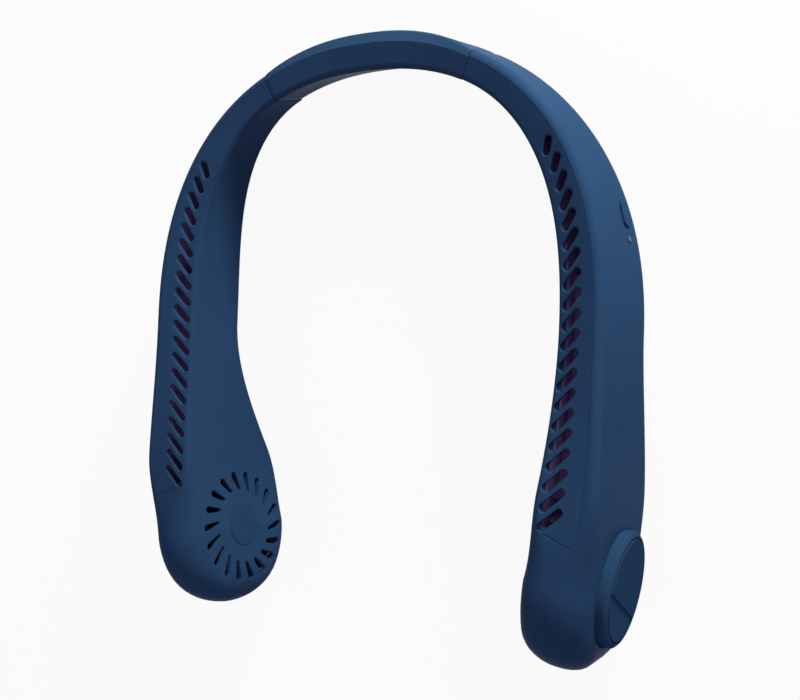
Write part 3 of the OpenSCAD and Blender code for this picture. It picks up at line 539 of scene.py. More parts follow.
def bumped(tree, fac, strength, distance, **below):
    inputs = {"Height": fac, "Strength": strength, "Distance": distance, **below}
    return add(tree, "ShaderNodeBump", inputs)["Normal"]


def moulded_plastic(name, low, high, roughness, grain, shine=0.03):
    """Moulded plastic: faint mottling of the colour, an uneven gloss and a fine eroded grain."""
    material, tree, shader = shader_tree(name)
    broad = noise(tree, scale=38, detail=3)
    fine = noise(tree, scale=1500, detail=1)
    gloss = noise(tree, scale=420, detail=3)
    waves = bumped(tree, broad, strength=0.05, distance=0.0004)
    looks = {
        "Base Color": ramp(tree, broad, low, high),
        "Roughness": span(tree, gloss, roughness - 0.04, roughness + 0.05),
        "Normal": bumped(tree, fine, strength=grain, distance=0.000006, Normal=waves),
        "IOR": 1.5,
        "Specular IOR Level": shine,
    }
    feed(tree, shader, looks)
    return material


def soft_rubber(name, low, high):
    """Soft silicone skin: matt, with a fine velvety grain and a faint sheen."""
    material, tree, shader = shader_tree(name)
    broad = noise(tree, scale=55, detail=3)
    gloss = noise(tree, scale=700, detail=3)
    fine = noise(tree, scale=3600, detail=3, roughness=0.7)
    looks = {
        "Base Color": ramp(tree, broad, low, high),
        "Roughness": span(tree, gloss, 0.36, 0.46),
        "Normal": bumped(tree, fine, strength=0.3, distance=0.00003),
        "Specular IOR Level": 0.006,
        "Sheen Weight": 0.02,
        "Sheen Roughness": 0.4,
    }
    feed(tree, shader, looks)
    return material


def worked_metal(name, low, high, roughness, stretch):
    """Metal with fine drawn or ground lines along one axis."""
    material, tree, shader = shader_tree(name)
    place = add(tree, "ShaderNodeMapping", {"Vector": own_place(tree), "Scale": stretch})["Vector"]
    lines = add(tree, "ShaderNodeTexNoise", {"Vector": place, "Scale": 300, "Detail": 3})["Fac"]
    looks = {
        "Base Color": ramp(tree, lines, low, high),
        "Roughness": span(tree, lines, roughness - 0.06, roughness + 0.08),
        "Normal": bumped(tree, lines, strength=0.2, distance=0.00003),
        "Metallic": 1,
    }
    feed(tree, shader, looks)
    return material


def wound_wire(name):
    """Enamelled copper wire, wound in close turns round the axis of the motor."""
    material, tree, shader = shader_tree(name)
    inputs = {"Vector": own_place(tree), "Scale": 900, "Distortion": 0.6}
    turns = add(tree, "ShaderNodeTexWave", inputs)["Fac"]
    looks = {
        "Base Color": ramp(tree, turns, (0.26, 0.07, 0.02), (0.62, 0.24, 0.09)),
        "Normal": bumped(tree, turns, strength=0.7, distance=0.0001),
        "Metallic": 1,
        "Roughness": 0.3,
    }
    feed(tree, shader, looks)
    return material


def board_laminate(name):
    """Green solder mask over glass cloth, with faint traces under it."""
    material, tree, shader = shader_tree(name)
    inputs = {
        "Vector": own_place(tree),
        "Scale": 420,
        "Mortar Size": 0.04,
        "Color1": (0.012, 0.11, 0.045, 1),
        "Color2": (0.01, 0.095, 0.04, 1),
        "Mortar": (0.03, 0.19, 0.08, 1),
    }
    weave = add(tree, "ShaderNodeTexBrick", inputs)
    relief = bumped(tree, weave["Fac"], strength=0.2, distance=0.00005)
    feed(tree, shader, {"Base Color": weave["Color"], "Normal": relief, "Roughness": 0.28})
    return material


def clear_moulding(name):
    """Clear plastic that guides light: slightly blue, with a fine uneven gloss."""
    material, tree, shader = shader_tree(name)
    fine = noise(tree, scale=900, detail=2)
    looks = {
        "Base Color": ramp(tree, fine, (0.05, 0.09, 0.17), (0.07, 0.12, 0.21)),
        "Roughness": span(tree, fine, 0.08, 0.2),
        "Transmission Weight": 0.6,
        "IOR": 1.5,
    }
    feed(tree, shader, looks)
    return material


# Each finish is mottled between two colours
SHELL_NAVY = (0.0195, 0.053, 0.119), (0.0215, 0.058, 0.131)
CAP_NAVY = (0.019, 0.053, 0.115), (0.021, 0.058, 0.126)
SLEEVE_NAVY = (0.02, 0.053, 0.116), (0.022, 0.058, 0.127)
# Violet inside the duct, much lighter than the shell: painted light that stands in for the light reaching the
# shaded duct walls seen through the slots
LINING_PAINTED_LIGHT = (0.36, 0.24, 0.55), (0.42, 0.28, 0.64)
# Light violet for the scroll and the battery carrier: painted light that stands in for the light reaching
# them inside the duct, seen through the slots
DUCT_PAINTED_LIGHT = (0.28, 0.19, 0.42), (0.32, 0.22, 0.48)
MOULDING_BLACK = (0.008, 0.008, 0.01), (0.013, 0.013, 0.016)
JACKET_BLACK = (0.01, 0.01, 0.012), (0.016, 0.016, 0.018)
STEEL_GREY = (0.5, 0.5, 0.52), (0.66, 0.66, 0.68)
MAGNET_GREY = (0.06, 0.06, 0.065), (0.1, 0.1, 0.11)
WRAP_GREY = (0.42, 0.43, 0.47), (0.55, 0.56, 0.6)

navy_shell = moulded_plastic("navy_shell", *SHELL_NAVY, roughness=0.33, grain=0.15, shine=0.002)
navy_cap = moulded_plastic("navy_cap", *CAP_NAVY, roughness=0.34, grain=0.1, shine=0.0)
# The cavity's walls carry this lighter violet as painted light inside the duct
duct_lining = moulded_plastic("duct_lining", *LINING_PAINTED_LIGHT, roughness=0.6, grain=0.3, shine=0.0)
# Scroll and carrier: their lighter violet is painted light inside the duct
dark_duct = moulded_plastic("dark_duct", *DUCT_PAINTED_LIGHT, roughness=0.5, grain=0.3, shine=0.0)
black_moulding = moulded_plastic("black_moulding", *MOULDING_BLACK, roughness=0.42, grain=0.3)
sleeve_skin = soft_rubber("sleeve_skin", *SLEEVE_NAVY)
bright_steel = worked_metal("bright_steel", *STEEL_GREY, roughness=0.28, stretch=(1, 1, 12))
magnet_face = worked_metal("magnet_face", *MAGNET_GREY, roughness=0.45, stretch=(1, 1, 4))
cell_wrap = worked_metal("cell_wrap", *WRAP_GREY, roughness=0.34, stretch=(8, 1, 1))
copper_wire = wound_wire("copper_wire")
solder_mask = board_laminate("solder_mask")
light_guide = clear_moulding("light_guide")
cable_jacket = moulded_plastic("cable_jacket", *JACKET_BLACK, roughness=0.5, grain=0.4)

NODE_FINISHES = {
    # The scroll and the carrier take the painted light of the duct's inside
    "scroll": dark_duct,
    "impeller": black_moulding,
    "rotor_can": bright_steel,
    "magnet_ring": magnet_face,
    "shaft": bright_steel,
    "stator_core": magnet_face,
    "windings": copper_wire,
    "bearings": bright_steel,
    "motor_base": black_moulding,
    "motor_screws": bright_steel,
    "battery": cell_wrap,
    "carrier": dark_duct,
    "strip_pin": bright_steel,
    "control_board": solder_mask,
    "tact_switch": black_moulding,
    "power_button": navy_cap,
    "light_pipe": light_guide,
    "charging_port": bright_steel,
    "board_screws": bright_steel,
}
for node_name, node_object in frame["nodes"].items():
    finish = NODE_FINISHES.get(node_name.replace("left_", "").replace("right_", ""))
    if finish:
        for place in node_object.material_slots:
            place.material = finish


# Meshes
scene_objects = bpy.context.scene.collection.objects


def linked(name, data):
    obj = bpy.data.objects.new(name, data)
    scene_objects.link(obj)
    return obj


def new_object(name, points, edges, faces):
    mesh = bpy.data.meshes.new(name)
    mesh.from_pydata([tuple(p) for p in points], edges, faces)
    return linked(name, mesh)


def face_outwards(obj, merge=0.0):
    """Turns the faces outwards. Points closer than merge, in metres, are first made one."""
    work = bmesh.new()
    work.from_mesh(obj.data)
    if merge:
        bmesh.ops.remove_doubles(work, verts=work.verts, dist=merge)
    bmesh.ops.recalc_face_normals(work, faces=work.faces)
    work.to_mesh(obj.data)
    work.free()


def loft(name, rings, metres=False):
    """A closed solid through rings of points, in the fan's own plane or already at rest in metres."""
    n, m = len(rings), len(rings[0])
    points = np.array([p for ring in rings for p in ring], float)
    faces = [
        (j * m + i, j * m + (i + 1) % m, (j + 1) * m + (i + 1) % m, (j + 1) * m + i)
        for j in range(n - 1)
        for i in range(m)
    ]
    faces.append(tuple(range(m - 1, -1, -1)))
    faces.append(tuple(range((n - 1) * m, n * m)))
    obj = new_object(name, points if metres else at_rest(points), [], faces)
    face_outwards(obj)
    return obj


def evaluated_mesh(obj):
    bpy.context.view_layer.update()
    graph = bpy.context.evaluated_depsgraph_get()
    mesh = bpy.data.meshes.new_from_object(obj.evaluated_get(graph))
    obj.modifiers.clear()
    obj.data = mesh
    return obj


def carve(obj, tools, operation="DIFFERENCE"):
    for tool in tools:
        cut = obj.modifiers.new(tool.name, "BOOLEAN")
        cut.operation = operation
        cut.solver = "MANIFOLD"
        cut.object = tool
    return evaluated_mesh(obj)


def copy_of(obj, name):
    twin = obj.copy()
    twin.data = obj.data.copy()
    twin.name = name
    scene_objects.link(twin)
    return twin


def discard(*objs):
    for obj in objs:
        bpy.data.objects.remove(obj, do_unlink=True)


def mirrored(obj, name):
    """The left-hand twin of a right-hand piece."""
    twin = copy_of(obj, name)
    twin.data.transform(Matrix.Diagonal((-1, 1, 1, 1)))
    twin.data.flip_normals()
    return twin


def shade(obj):
    """Smooth shading that keeps the large flats flat and the sharp edges sharp."""
    mesh = obj.data
    mesh.shade_smooth()
    mesh.set_sharp_from_angle(angle=math.radians(SHARP_ANGLE))
    weigh = obj.modifiers.new("weigh", "WEIGHTED_NORMAL")
    weigh.keep_sharp = True
    weigh.weight = 50
    return evaluated_mesh(obj)


# Frames of the bulb and of the controls
def turn_about(axis, radians):
    return np.array(Matrix.Rotation(radians, 3, axis))


BULB_FRAME = turn_about("Z", outward(2)) @ turn_about("Y", math.radians(BULB_TURN))
BULB_MID = np.array([*rail(2), BULB_Z])


def on_bulb(points):
    """Points given as distance out along the bulb's axis and two across it."""
    return at_rest(BULB_MID + np.asarray(points, float) @ BULB_FRAME.T)


CTL_CORNERS = corners(CONTROLS_SHARE)
CTL_MID = (CTL_CORNERS[1] + CTL_CORNERS[2]) / 2
CTL_LEAN = math.atan2(CTL_CORNERS[2][0] - CTL_CORNERS[1][0], CTL_CORNERS[1][1] - CTL_CORNERS[2][1])
CTL_FRAME = turn_about("Z", outward(CONTROLS_SHARE)) @ turn_about("Y", -CTL_LEAN)
CTL_ORIGIN = np.array([*plan(CONTROLS_SHARE, CTL_MID[0]), CTL_MID[1]])


def on_controls(points):
    """Points given as out of the outer face, along the arm to the neck, and up the face."""
    return at_rest(CTL_ORIGIN + (np.asarray(points, float) - np.array([0, 0, CONTROL_DROP])) @ CTL_FRAME.T)


def stack(name, outlines, place):
    """A closed solid through outlines of equal length, each a list of points in one frame."""
    return loft(name, [place(outline) for outline in outlines], metres=True)


def circle(r, n):
    return [polar(r, 2 * math.pi * i / n) for i in range(n)]


def disc_rings(profile):
    """Rings about the bulb's axis through a profile of (distance out, radius)."""
    return [[(u, *p) for p in circle(r, BORE_STEPS)] for u, r in profile]


# Geometry Nodes
def new_tree(name, inputs):
    """An empty tree with its named inputs, and the outputs of the node that gives them."""
    tree = bpy.data.node_groups.new(name, "GeometryNodeTree")
    for label, kind in {"Geometry": "Geometry", **inputs, "Material": "Material"}.items():
        tree.interface.new_socket(label, in_out="INPUT", socket_type=f"NodeSocket{kind}")
    tree.interface.new_socket("Geometry", in_out="OUTPUT", socket_type="NodeSocketGeometry")
    return tree, add(tree, "NodeGroupInput", {})


def end_tree(tree, entry, geometry):
    inputs = {"Geometry": geometry, "Material": entry["Material"]}
    coloured = add(tree, "GeometryNodeSetMaterial", inputs)["Geometry"]
    add(tree, "NodeGroupOutput", {"Geometry": coloured})
    return tree


def slot_row_tree():
    """A row of slots, each a round cutter pulled apart along its own line."""
    tree, entry = new_tree("slot_row", {"Cutter": "Object", "Length share": "Float"})

    def named(name, kind):
        return add(tree, "GeometryNodeInputNamedAttribute", {"Name": name}, data_type=kind)["Attribute"]

    cutter = add(tree, "GeometryNodeObjectInfo", {"Object": entry["Cutter"]})["Geometry"]
    turn = add(tree, "ShaderNodeCombineXYZ", {"Z": named("turn", "FLOAT")})["Vector"]
    inputs = {"Points": entry["Geometry"], "Instance": cutter, "Rotation": turn}
    row = add(tree, "GeometryNodeInstanceOnPoints", inputs)["Instances"]
    solid = add(tree, "GeometryNodeRealizeInstances", {"Geometry": row})["Geometry"]
    reach = combined(tree, "MULTIPLY", named("side", "FLOAT"), named("half_run", "FLOAT"))
    length = combined(tree, "MULTIPLY", reach, entry["Length share"])
    inputs = {"Vector": named("line", "FLOAT_VECTOR"), "Scale": length}
    pull = add(tree, "ShaderNodeVectorMath", inputs, operation="SCALE")["Vector"]
    moved = add(tree, "GeometryNodeSetPosition", {"Geometry": solid, "Offset": pull})["Geometry"]
    return end_tree(tree, entry, moved)


def run_tree(obj, tree, **values):
    """Runs a tree on an object, with its named inputs set, and keeps the mesh it gives."""
    modifier = obj.modifiers.new(tree.name, "NODES")
    modifier.node_group = tree
    for item in tree.interface.items_tree:
        label = item.name.replace(" ", "_").lower()
        if item.in_out == "INPUT" and label in values:
            modifier[item.identifier] = values[label]
    return evaluated_mesh(obj)


def give(obj, name, kind, values):
    """Gives each point of a mesh a named value."""
    field = "vector" if kind == "FLOAT_VECTOR" else "value"
    obj.data.attributes.new(name, kind, "POINT").data.foreach_set(field, values)


def slot_cutter(name, widths, rim, below):
    """A round cutter with a flared rim, whose halves know on which side of its middle they lie."""
    flare = (math.pi / 6, math.pi / 3, math.pi / 2)
    levels = [(rim, SLOT_OVERRUN), (rim, 0)]
    levels += [(rim * (1 - math.sin(a)), -rim * (1 - math.cos(a))) for a in flare]
    levels.append((0, -below))
    half = [math.pi * (i / SLOT_STEPS - 0.5) for i in range(SLOT_STEPS + 1)]
    angles = half + [a + math.pi for a in half]
    sides = [1.0] * len(half) + [-1.0] * len(half)
    radii = [widths[side < 0] / 2 for side in sides]
    rings = [[(*polar(r + grow, a), h) for a, r in zip(angles, radii)] for grow, h in levels]
    cutter = loft(name, rings, metres=True)
    give(cutter, "side", "FLOAT", sides * len(levels))
    return cutter


def slot_row(name, rows, cutter, tree):
    """Cutters of a row of slots: each row is (x, y, turn, half run), in a plane where Z is 0."""
    obj = new_object(name, [(x, y, 0) for x, y, _, _ in rows], [], [])
    give(obj, "turn", "FLOAT", [row[2] for row in rows])
    give(obj, "half_run", "FLOAT", [row[3] for row in rows])
    give(obj, "line", "FLOAT_VECTOR", [v for row in rows for v in (*polar(1, row[2]), 0)])
    return run_tree(obj, tree, cutter=cutter, length_share=1.0, material=navy_shell)


def moved_points(obj, rule):
    """Runs a rule over all points of a mesh at once."""
    count = len(obj.data.vertices)
    flat = np.empty(count * 3, np.float32)
    obj.data.vertices.foreach_get("co", flat)
    points = rule(flat.reshape(-1, 3).astype(float))
    obj.data.vertices.foreach_set("co", np.asarray(points, np.float32).ravel())
    obj.data.update()
    return obj


# Louvre panel: slabs that follow the front face
def slab_ring(s, outer_u, inset, deep, slant):
    skew = slant / LEG_L
    section = corners(s - skew)
    inner_u = section[0][0] + rounds(s - skew)[0] / 2 + inset
    inner, outer = front_at(section, inner_u), front_at(corners(s), outer_u)
    return [
        (*plan(s - skew, inner_u), inner + OVERRUN),
        (*plan(s, outer_u), outer + OVERRUN),
        (*plan(s, outer_u), outer - deep),
        (*plan(s - skew, inner_u), inner - deep),
    ]


PANEL_SKEW = (LOUVRE_INSETS[2] + SLANT_MARGIN) * math.tan(math.radians(PANEL_END_SLANT))


def panel_zone(gap):
    body = [s for s in stations(0, ARCH_STEPS, LEG_STEPS) if s < 1 + PANEL_END - PANEL_END_ROOM]
    rings = [slab_ring(s, -gap, gap, PANEL_T - gap, 0) for s in [ZONE_START] + body]
    rings.append(slab_ring(1 + PANEL_END - gap / LEG_L, -gap, gap, PANEL_T - gap, PANEL_SKEW))
    return loft("panel_zone", rings)


def panel_opening():
    body = [s for s in stations(SOLID_SHARE, ARCH_STEPS, LEG_STEPS) if s < 1 + PANEL_END - OPENING_END_ROOM]
    rings = [slab_ring(s, -LEDGE_W, LEDGE_W, 2 * WALL, 0) for s in body]
    rings.append(slab_ring(1 + PANEL_END - LEDGE_W / LEG_L, -LEDGE_W, LEDGE_W, 2 * WALL, PANEL_SKEW))
    return loft("panel_opening", rings)


def half_ring(s, shift):
    """Ring of a cutter that covers the outer half of the arm, from the middle of its section out."""
    inner_front, outer_front, outer_back, inner_back = corners(s)
    front, back = (inner_front + outer_front) / 2, (outer_back + inner_back) / 2
    step = unit(back - front) * BULB_ROUND
    top, bottom = front - step, back + step
    far = BULB_D / 2
    return [
        (*plan(s, top[0] + shift), top[1]),
        (*plan(s, far), top[1]),
        (*plan(s, far), bottom[1]),
        (*plan(s, bottom[0] + shift), bottom[1]),
    ]


def outer_half(shift):
    marks = HALF_STARTS + stations(0, ARCH_STEPS, LEG_STEPS) + HALF_ENDS
    return loft("outer_half", [half_ring(s, shift) for s in marks])


def seam_groove(name, spine, normals, left_w, right_w, depth):
    """A wedge that cuts a V along a seam, with its own width on each side of the run."""
    rings = []
    for i, (p, n) in enumerate(zip(spine, normals)):
        run = unit(spine[min(i + 1, len(spine) - 1)] - spine[max(i - 1, 0)])
        side = unit(np.cross(run, n))
        rings.append([p - n * depth, p + side * 2 * left_w + n * depth, p - side * 2 * right_w + n * depth])
    return loft(name, rings)


def louvre_rows():
    """Slots that step evenly along the line of their inner ends, and the front face at each."""

    def share(s):
        return smooth((s - LOUVRE_START) / (1 - LOUVRE_START))

    def between(values, s):
        if s < 1:
            return mix(values[0], values[1], share(s))
        return mix(values[1], values[2], (s - 1) / LOUVRE_END)

    fine = np.linspace(LOUVRE_START, 1 + LOUVRE_END, ROW_SAMPLES)
    ends = np.array([plan(s, -between(LOUVRE_INSETS, s)) for s in fine])
    run = np.concatenate([[0], np.cumsum(np.linalg.norm(np.diff(ends, axis=0), axis=1))])
    rows, levels = [], []
    for i in range(LOUVRE_N):
        s = float(np.interp(run[-1] * i / (LOUVRE_N - 1), run, fine))
        turn = outward(s) + math.radians(90 - LOUVRE_SLANT)
        half = between(LOUVRE_LENGTHS, s) / 2
        inset = between(LOUVRE_INSETS, s)
        mid = plan(s, -inset) + polar(half, turn)
        rows.append((*mid, turn, half))
        across = -inset + half * math.cos(math.radians(90 - LOUVRE_SLANT))
        c = corners(s)
        slope = (c[1][1] - c[0][1]) / (c[1][0] - c[0][0])
        levels.append((front_at(c, across), *polar(slope, outward(s))))
    return rows, levels


def louvre_tools(tree):
    rows, levels = louvre_rows()
    cutter = slot_cutter("louvre_cutter", (LOUVRE_W, LOUVRE_W), LOUVRE_RIM, LOUVRE_CUT)
    tools = slot_row("louvre_tools", rows, cutter, tree)
    discard(cutter)
    mids = np.array([row[:2] for row in rows])
    levels = np.array(levels)

    def follow_face(points):
        slot = np.arange(len(points)) // (len(points) // len(rows))
        local = points[:, :2] - mids[slot]
        base, slope = levels[slot, 0], levels[slot, 1:]
        points[:, 2] += base + (local * slope).sum(axis=1)
        return at_rest(points)

    return moved_points(tools, follow_face)


def grille_tools(tree):
    """Swirled slots of the intake grille, which follow the rounding of the bulb's rim."""
    half = (GRILLE_R - GRILLE_HUB_R) / 2 - (GRILLE_SLOT_W + GRILLE_SLOT_IN_W) / 4
    shift = (GRILLE_SLOT_IN_W - GRILLE_SLOT_W) / 4
    rows = []
    for i in range(GRILLE_N):
        a = math.radians(360 * i / GRILLE_N + GRILLE_TURN)
        turn = a - math.radians(GRILLE_SWIRL)
        mid = polar((GRILLE_HUB_R + GRILLE_R) / 2, a) + polar(shift, turn)
        rows.append((*mid, turn, half))
    cutter = slot_cutter("grille_cutter", (GRILLE_SLOT_W, GRILLE_SLOT_IN_W), GRILLE_RIM, GRILLE_CUT)
    tools = slot_row("grille_tools", rows, cutter, tree)
    discard(cutter)
    flat = BULB_D / 2 - BULB_ROUND

    def follow_rim(points):
        over = np.clip(np.hypot(points[:, 0], points[:, 1]) - flat, 0, BULB_ROUND - ROUND_MARGIN)
        drop = BULB_ROUND - np.sqrt(BULB_ROUND**2 - over**2)
        near = points[:, 2] > -GRILLE_CUT / 2
        points[:, 2] -= np.where(near, drop, 0)
        # Across the bulb, local X points to its front and local Y towards the neck
        return on_bulb(np.stack([-BULB_IN - points[:, 2], points[:, 1], points[:, 0]], axis=1))

    return moved_points(tools, follow_rim)


# Arms
FINE_ENDS = (5, 10, 16, 22, 28, 34, 40, 46, 52, 58, 64, 69, 74, 79, 83, 86, 88)


def cap_seat_tool():
    bore, mouth = CAP_R + CAP_SEAT_GAP, CAP_R + CAP_SEAT_RIM
    profile = [(BULB_OUT - CAP_SEAT, bore), (BULB_OUT - CAP_SEAT_EDGE, bore)]
    profile += [(BULB_OUT, mouth), (BULB_OUT + CAP_SEAT_CUT, mouth)]
    return stack("cap_seat", disc_rings(profile), on_bulb)


def grille_seat_tool():
    bore, mouth = GRILLE_CAP_R + DISC_SEAT_GAP, GRILLE_CAP_R + DISC_SEAT_RIM
    profile = [(GRILLE_CAP_D - BULB_IN, bore), (DISC_SEAT_EDGE - BULB_IN, bore)]
    profile += [(-BULB_IN, mouth), (-BULB_IN - DISC_SEAT_CUT, mouth)]
    return stack("grille_seat", disc_rings(profile), on_bulb)


def motor_seat_tool():
    floor = BULB_OUT - CAP_SEAT - MOTOR_SEAT_T
    profile = [(floor, MOTOR_SEAT_R), (BULB_OUT + MOTOR_SEAT_CUT, MOTOR_SEAT_R)]
    return stack("motor_seat", disc_rings(profile), on_bulb)


def stadium(length, width):
    """Outline of a round-ended slot: long along the first axis."""
    half = (length - width) / 2
    arc = [math.pi * (i / CONTROL_STEPS - 0.5) for i in range(CONTROL_STEPS + 1)]
    right = [polar(width / 2, a) + np.array([half, 0]) for a in arc]
    return right + [-p for p in right]


def controls_tools():
    """Openings for the button and its light in the outer face, and for the port at the back edge."""
    tools = []
    light = 2 * LIGHT_R + LIGHT_PLAY
    levels = [(OVERRUN, CONTROL_RIM), (CONTROL_LIFT, CONTROL_RIM), (-CONTROL_RIM, 0), (-CONTROL_CUT, 0)]
    for length, width, y in ((BUTTON_L + BUTTON_PLAY, BUTTON_W + BUTTON_PLAY, 0), (light, light, -BUTTON_L)):
        outlines = [[(x, p[0] + y, p[1]) for p in stadium(length + 2 * g, width + 2 * g)] for x, g in levels]
        tools.append(stack("controls_tool", outlines, on_controls))
    depth = (CTL_CORNERS[2][1] + CTL_CORNERS[3][1]) / 2 - CTL_MID[1] + CONTROL_DROP
    face = depth + WALL - PORT_X * math.sin(CTL_LEAN)
    levels = [(-CONTROL_CUT, PORT_RIM), (-WALL - PORT_LIFT, PORT_RIM), (PORT_RIM - WALL, 0), (PORT_CUT, 0)]
    outlines = []
    for z, g in levels:
        outline = stadium(PORT_L + 2 * g, PORT_W + 2 * g)
        outlines.append([(PORT_X + p[1], p[0] + PORT_Y, face + z) for p in outline])
    tools.append(stack("controls_tool", outlines, on_controls))
    return tools


def seam_tools():
    """Grooves along the panel's outer seam and across its end."""
    marks = stations(BAND_END, ARCH_STEPS, LEG_STEPS)
    marks = [s for s in marks if s < 1 + PANEL_END] + [1 + PANEL_END]
    spine, normals = [], []
    for s in marks:
        c = corners(s)
        slope = math.atan2(c[1][1] - c[0][1], c[1][0] - c[0][0])
        spine.append(np.array([*plan(s, -SEAM), front_at(c, -SEAM)]))
        lean = polar(-math.sin(slope), outward(s))
        normals.append(np.array([lean[0], lean[1], math.cos(slope)]))
    length = seam_groove("length_groove", spine, normals, *LENGTH_GROOVE)
    s_in = 1 + PANEL_END - PANEL_SKEW / LEG_L
    c = corners(s_in)
    ui = c[0][0] + rounds(s_in)[0] / 2
    ends = [np.array([*plan(s_in, ui), front_at(c, ui)]), spine[-1]]
    cross = [mix(ends[0], ends[1], t) for t in np.linspace(-CROSS_START, 1, CROSS_STEPS)]
    across = seam_groove("cross_groove", cross, [normals[-1]] * CROSS_STEPS, *CROSS_GROOVE)
    return [length, across]


def build_arm(tree):
    """The right arm's two shells and louvre panel, and the left arm's, without the controls."""
    body = loft("arm_body", body_rings(0, SKIN_CURVE, 0, ARCH_STEPS, LEG_STEPS, FINE_ENDS))
    skin = copy_of(body, "arm_skin")
    steps = ARCH_STEPS // 2, LEG_STEPS // 2
    cavity = loft("cavity", body_rings(WALL, CAVITY_CURVE, SOLID_SHARE, *steps, FINE_ENDS[::2]))
    for obj in (body, cavity):
        obj.data.materials.append(navy_shell)
        obj.data.materials.append(duct_lining)
    # The cavity's faces take the painted light of the duct's inside, which the cut leaves on the shells'
    # inner walls
    cavity.data.polygons.foreach_set("material_index", [1] * len(cavity.data.polygons))
    seat = motor_seat_tool()
    carve(cavity, [seat])
    zone, zone_in, opening = panel_zone(0), panel_zone(SEAM), panel_opening()
    grooves = seam_tools()
    caps = [cap_seat_tool(), grille_seat_tool()]
    louvres, grille = louvre_tools(tree), grille_tools(tree)
    halves = [outer_half(HALF_SEAM), outer_half(-HALF_SEAM)]
    carve(body, [cavity, zone, opening, *grooves, *caps, grille])
    panel = copy_of(skin, "right_panel")
    carve(panel, [zone_in], "INTERSECT")
    carve(panel, [*grooves, louvres])
    outer = copy_of(body, "right_outer")
    carve(outer, [halves[0]], "INTERSECT")
    inner = copy_of(body, "right_inner")
    carve(inner, [halves[1]])
    left = {
        "louvre_panel": mirrored(panel, "left_panel_skin"),
        "outer_shell": mirrored(outer, "left_outer_skin"),
        "inner_shell": mirrored(inner, "left_inner_skin"),
    }
    controls = controls_tools()
    carve(outer, controls)
    carve(inner, controls)
    panel.name, outer.name, inner.name = "right_panel_skin", "right_outer_skin", "right_inner_skin"
    right = {"louvre_panel": panel, "outer_shell": outer, "inner_shell": inner}
    discard(body, skin, cavity, seat, zone, zone_in, opening, louvres, grille)
    discard(*grooves, *caps, *halves, *controls)
    for side, parts in (("left", left), ("right", right)):
        for part, obj in parts.items():
            # The shells' inner walls keep the painted light of the duct's inside
            painted_inside_light = duct_lining if part.endswith("shell") else None
            finish_piece(obj, f"{side}_{part}", f"{side}_arm", navy_shell, painted_inside_light)


def finish_piece(obj, node, body, material, painted_inside_light=None):
    """Gives a piece its finishes and its smooth shading, fixes it to its body and hides the node that it
    stands for.
    """
    # Clearing the materials also clears which faces carry the painted light of the duct's inside
    painted_light_faces = np.zeros(len(obj.data.polygons), np.int32)
    if painted_inside_light:
        obj.data.polygons.foreach_get("material_index", painted_light_faces)
    obj.data.materials.clear()
    for finish in [material] + ([painted_inside_light] if painted_inside_light else []):
        obj.data.materials.append(finish)
    obj.data.polygons.foreach_set("material_index", painted_light_faces)
    shade(obj)
    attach(obj, body)
    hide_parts(node)


# Turned pieces: Geometry Nodes sweep a profile round the bulb's axis
SWEEP_MERGE = 0.000001
POLE_MERGE = 0.0000005


def turned_tree():
    """A profile swept round a circle, still in millimetres, with the points that meet merged."""
    tree, entry = new_tree("turned_piece", {"Steps": "Int", "Core radius": "Float"})
    profile = add(tree, "GeometryNodeMeshToCurve", {"Mesh": entry["Geometry"]})["Curve"]
    inputs = {"Resolution": entry["Steps"], "Radius": entry["Core radius"]}
    core = add(tree, "GeometryNodeCurvePrimitiveCircle", inputs)["Curve"]
    sweep = add(tree, "GeometryNodeCurveToMesh", {"Curve": core, "Profile Curve": profile})["Mesh"]
    inputs = {"Geometry": sweep, "Distance": SWEEP_MERGE}
    return end_tree(tree, entry, add(tree, "GeometryNodeMergeByDistance", inputs)["Geometry"])


def rounded_profile(points, curves):
    """A turned profile of (radius, height) with the given corners rounded."""
    out = []
    points = [np.array(p, float) for p in points]
    for i, p in enumerate(points):
        if i in curves:
            out += fillet(points[i - 1], p, points[(i + 1) % len(points)], curves[i], PROFILE_CURVE)
        else:
            out.append(p)
    return out


def plate_profile(radius, thick, curve):
    return rounded_profile([(0, 0), (radius, 0), (radius, thick), (0, thick)], {2: curve})


def turned_piece(name, profile, level, tree, material):
    """A closed profile of (radius, height above level) turned about the bulb's axis."""
    core = max(r for r, _ in profile)
    n = len(profile)
    # A profile that starts on the axis stays open, and its ends become the poles
    edges = [(i, (i + 1) % n) for i in range(n if profile[0][0] > 0 else n - 1)]
    obj = new_object(name, [(r - core, -h, 0) for r, h in profile], edges, [])
    run_tree(obj, tree, steps=TURN_STEPS, core_radius=float(core), material=material)
    moved_points(obj, lambda p: on_bulb(np.stack([level + p[:, 2], p[:, 1], p[:, 0]], axis=1)))
    face_outwards(obj, POLE_MERGE)
    return obj


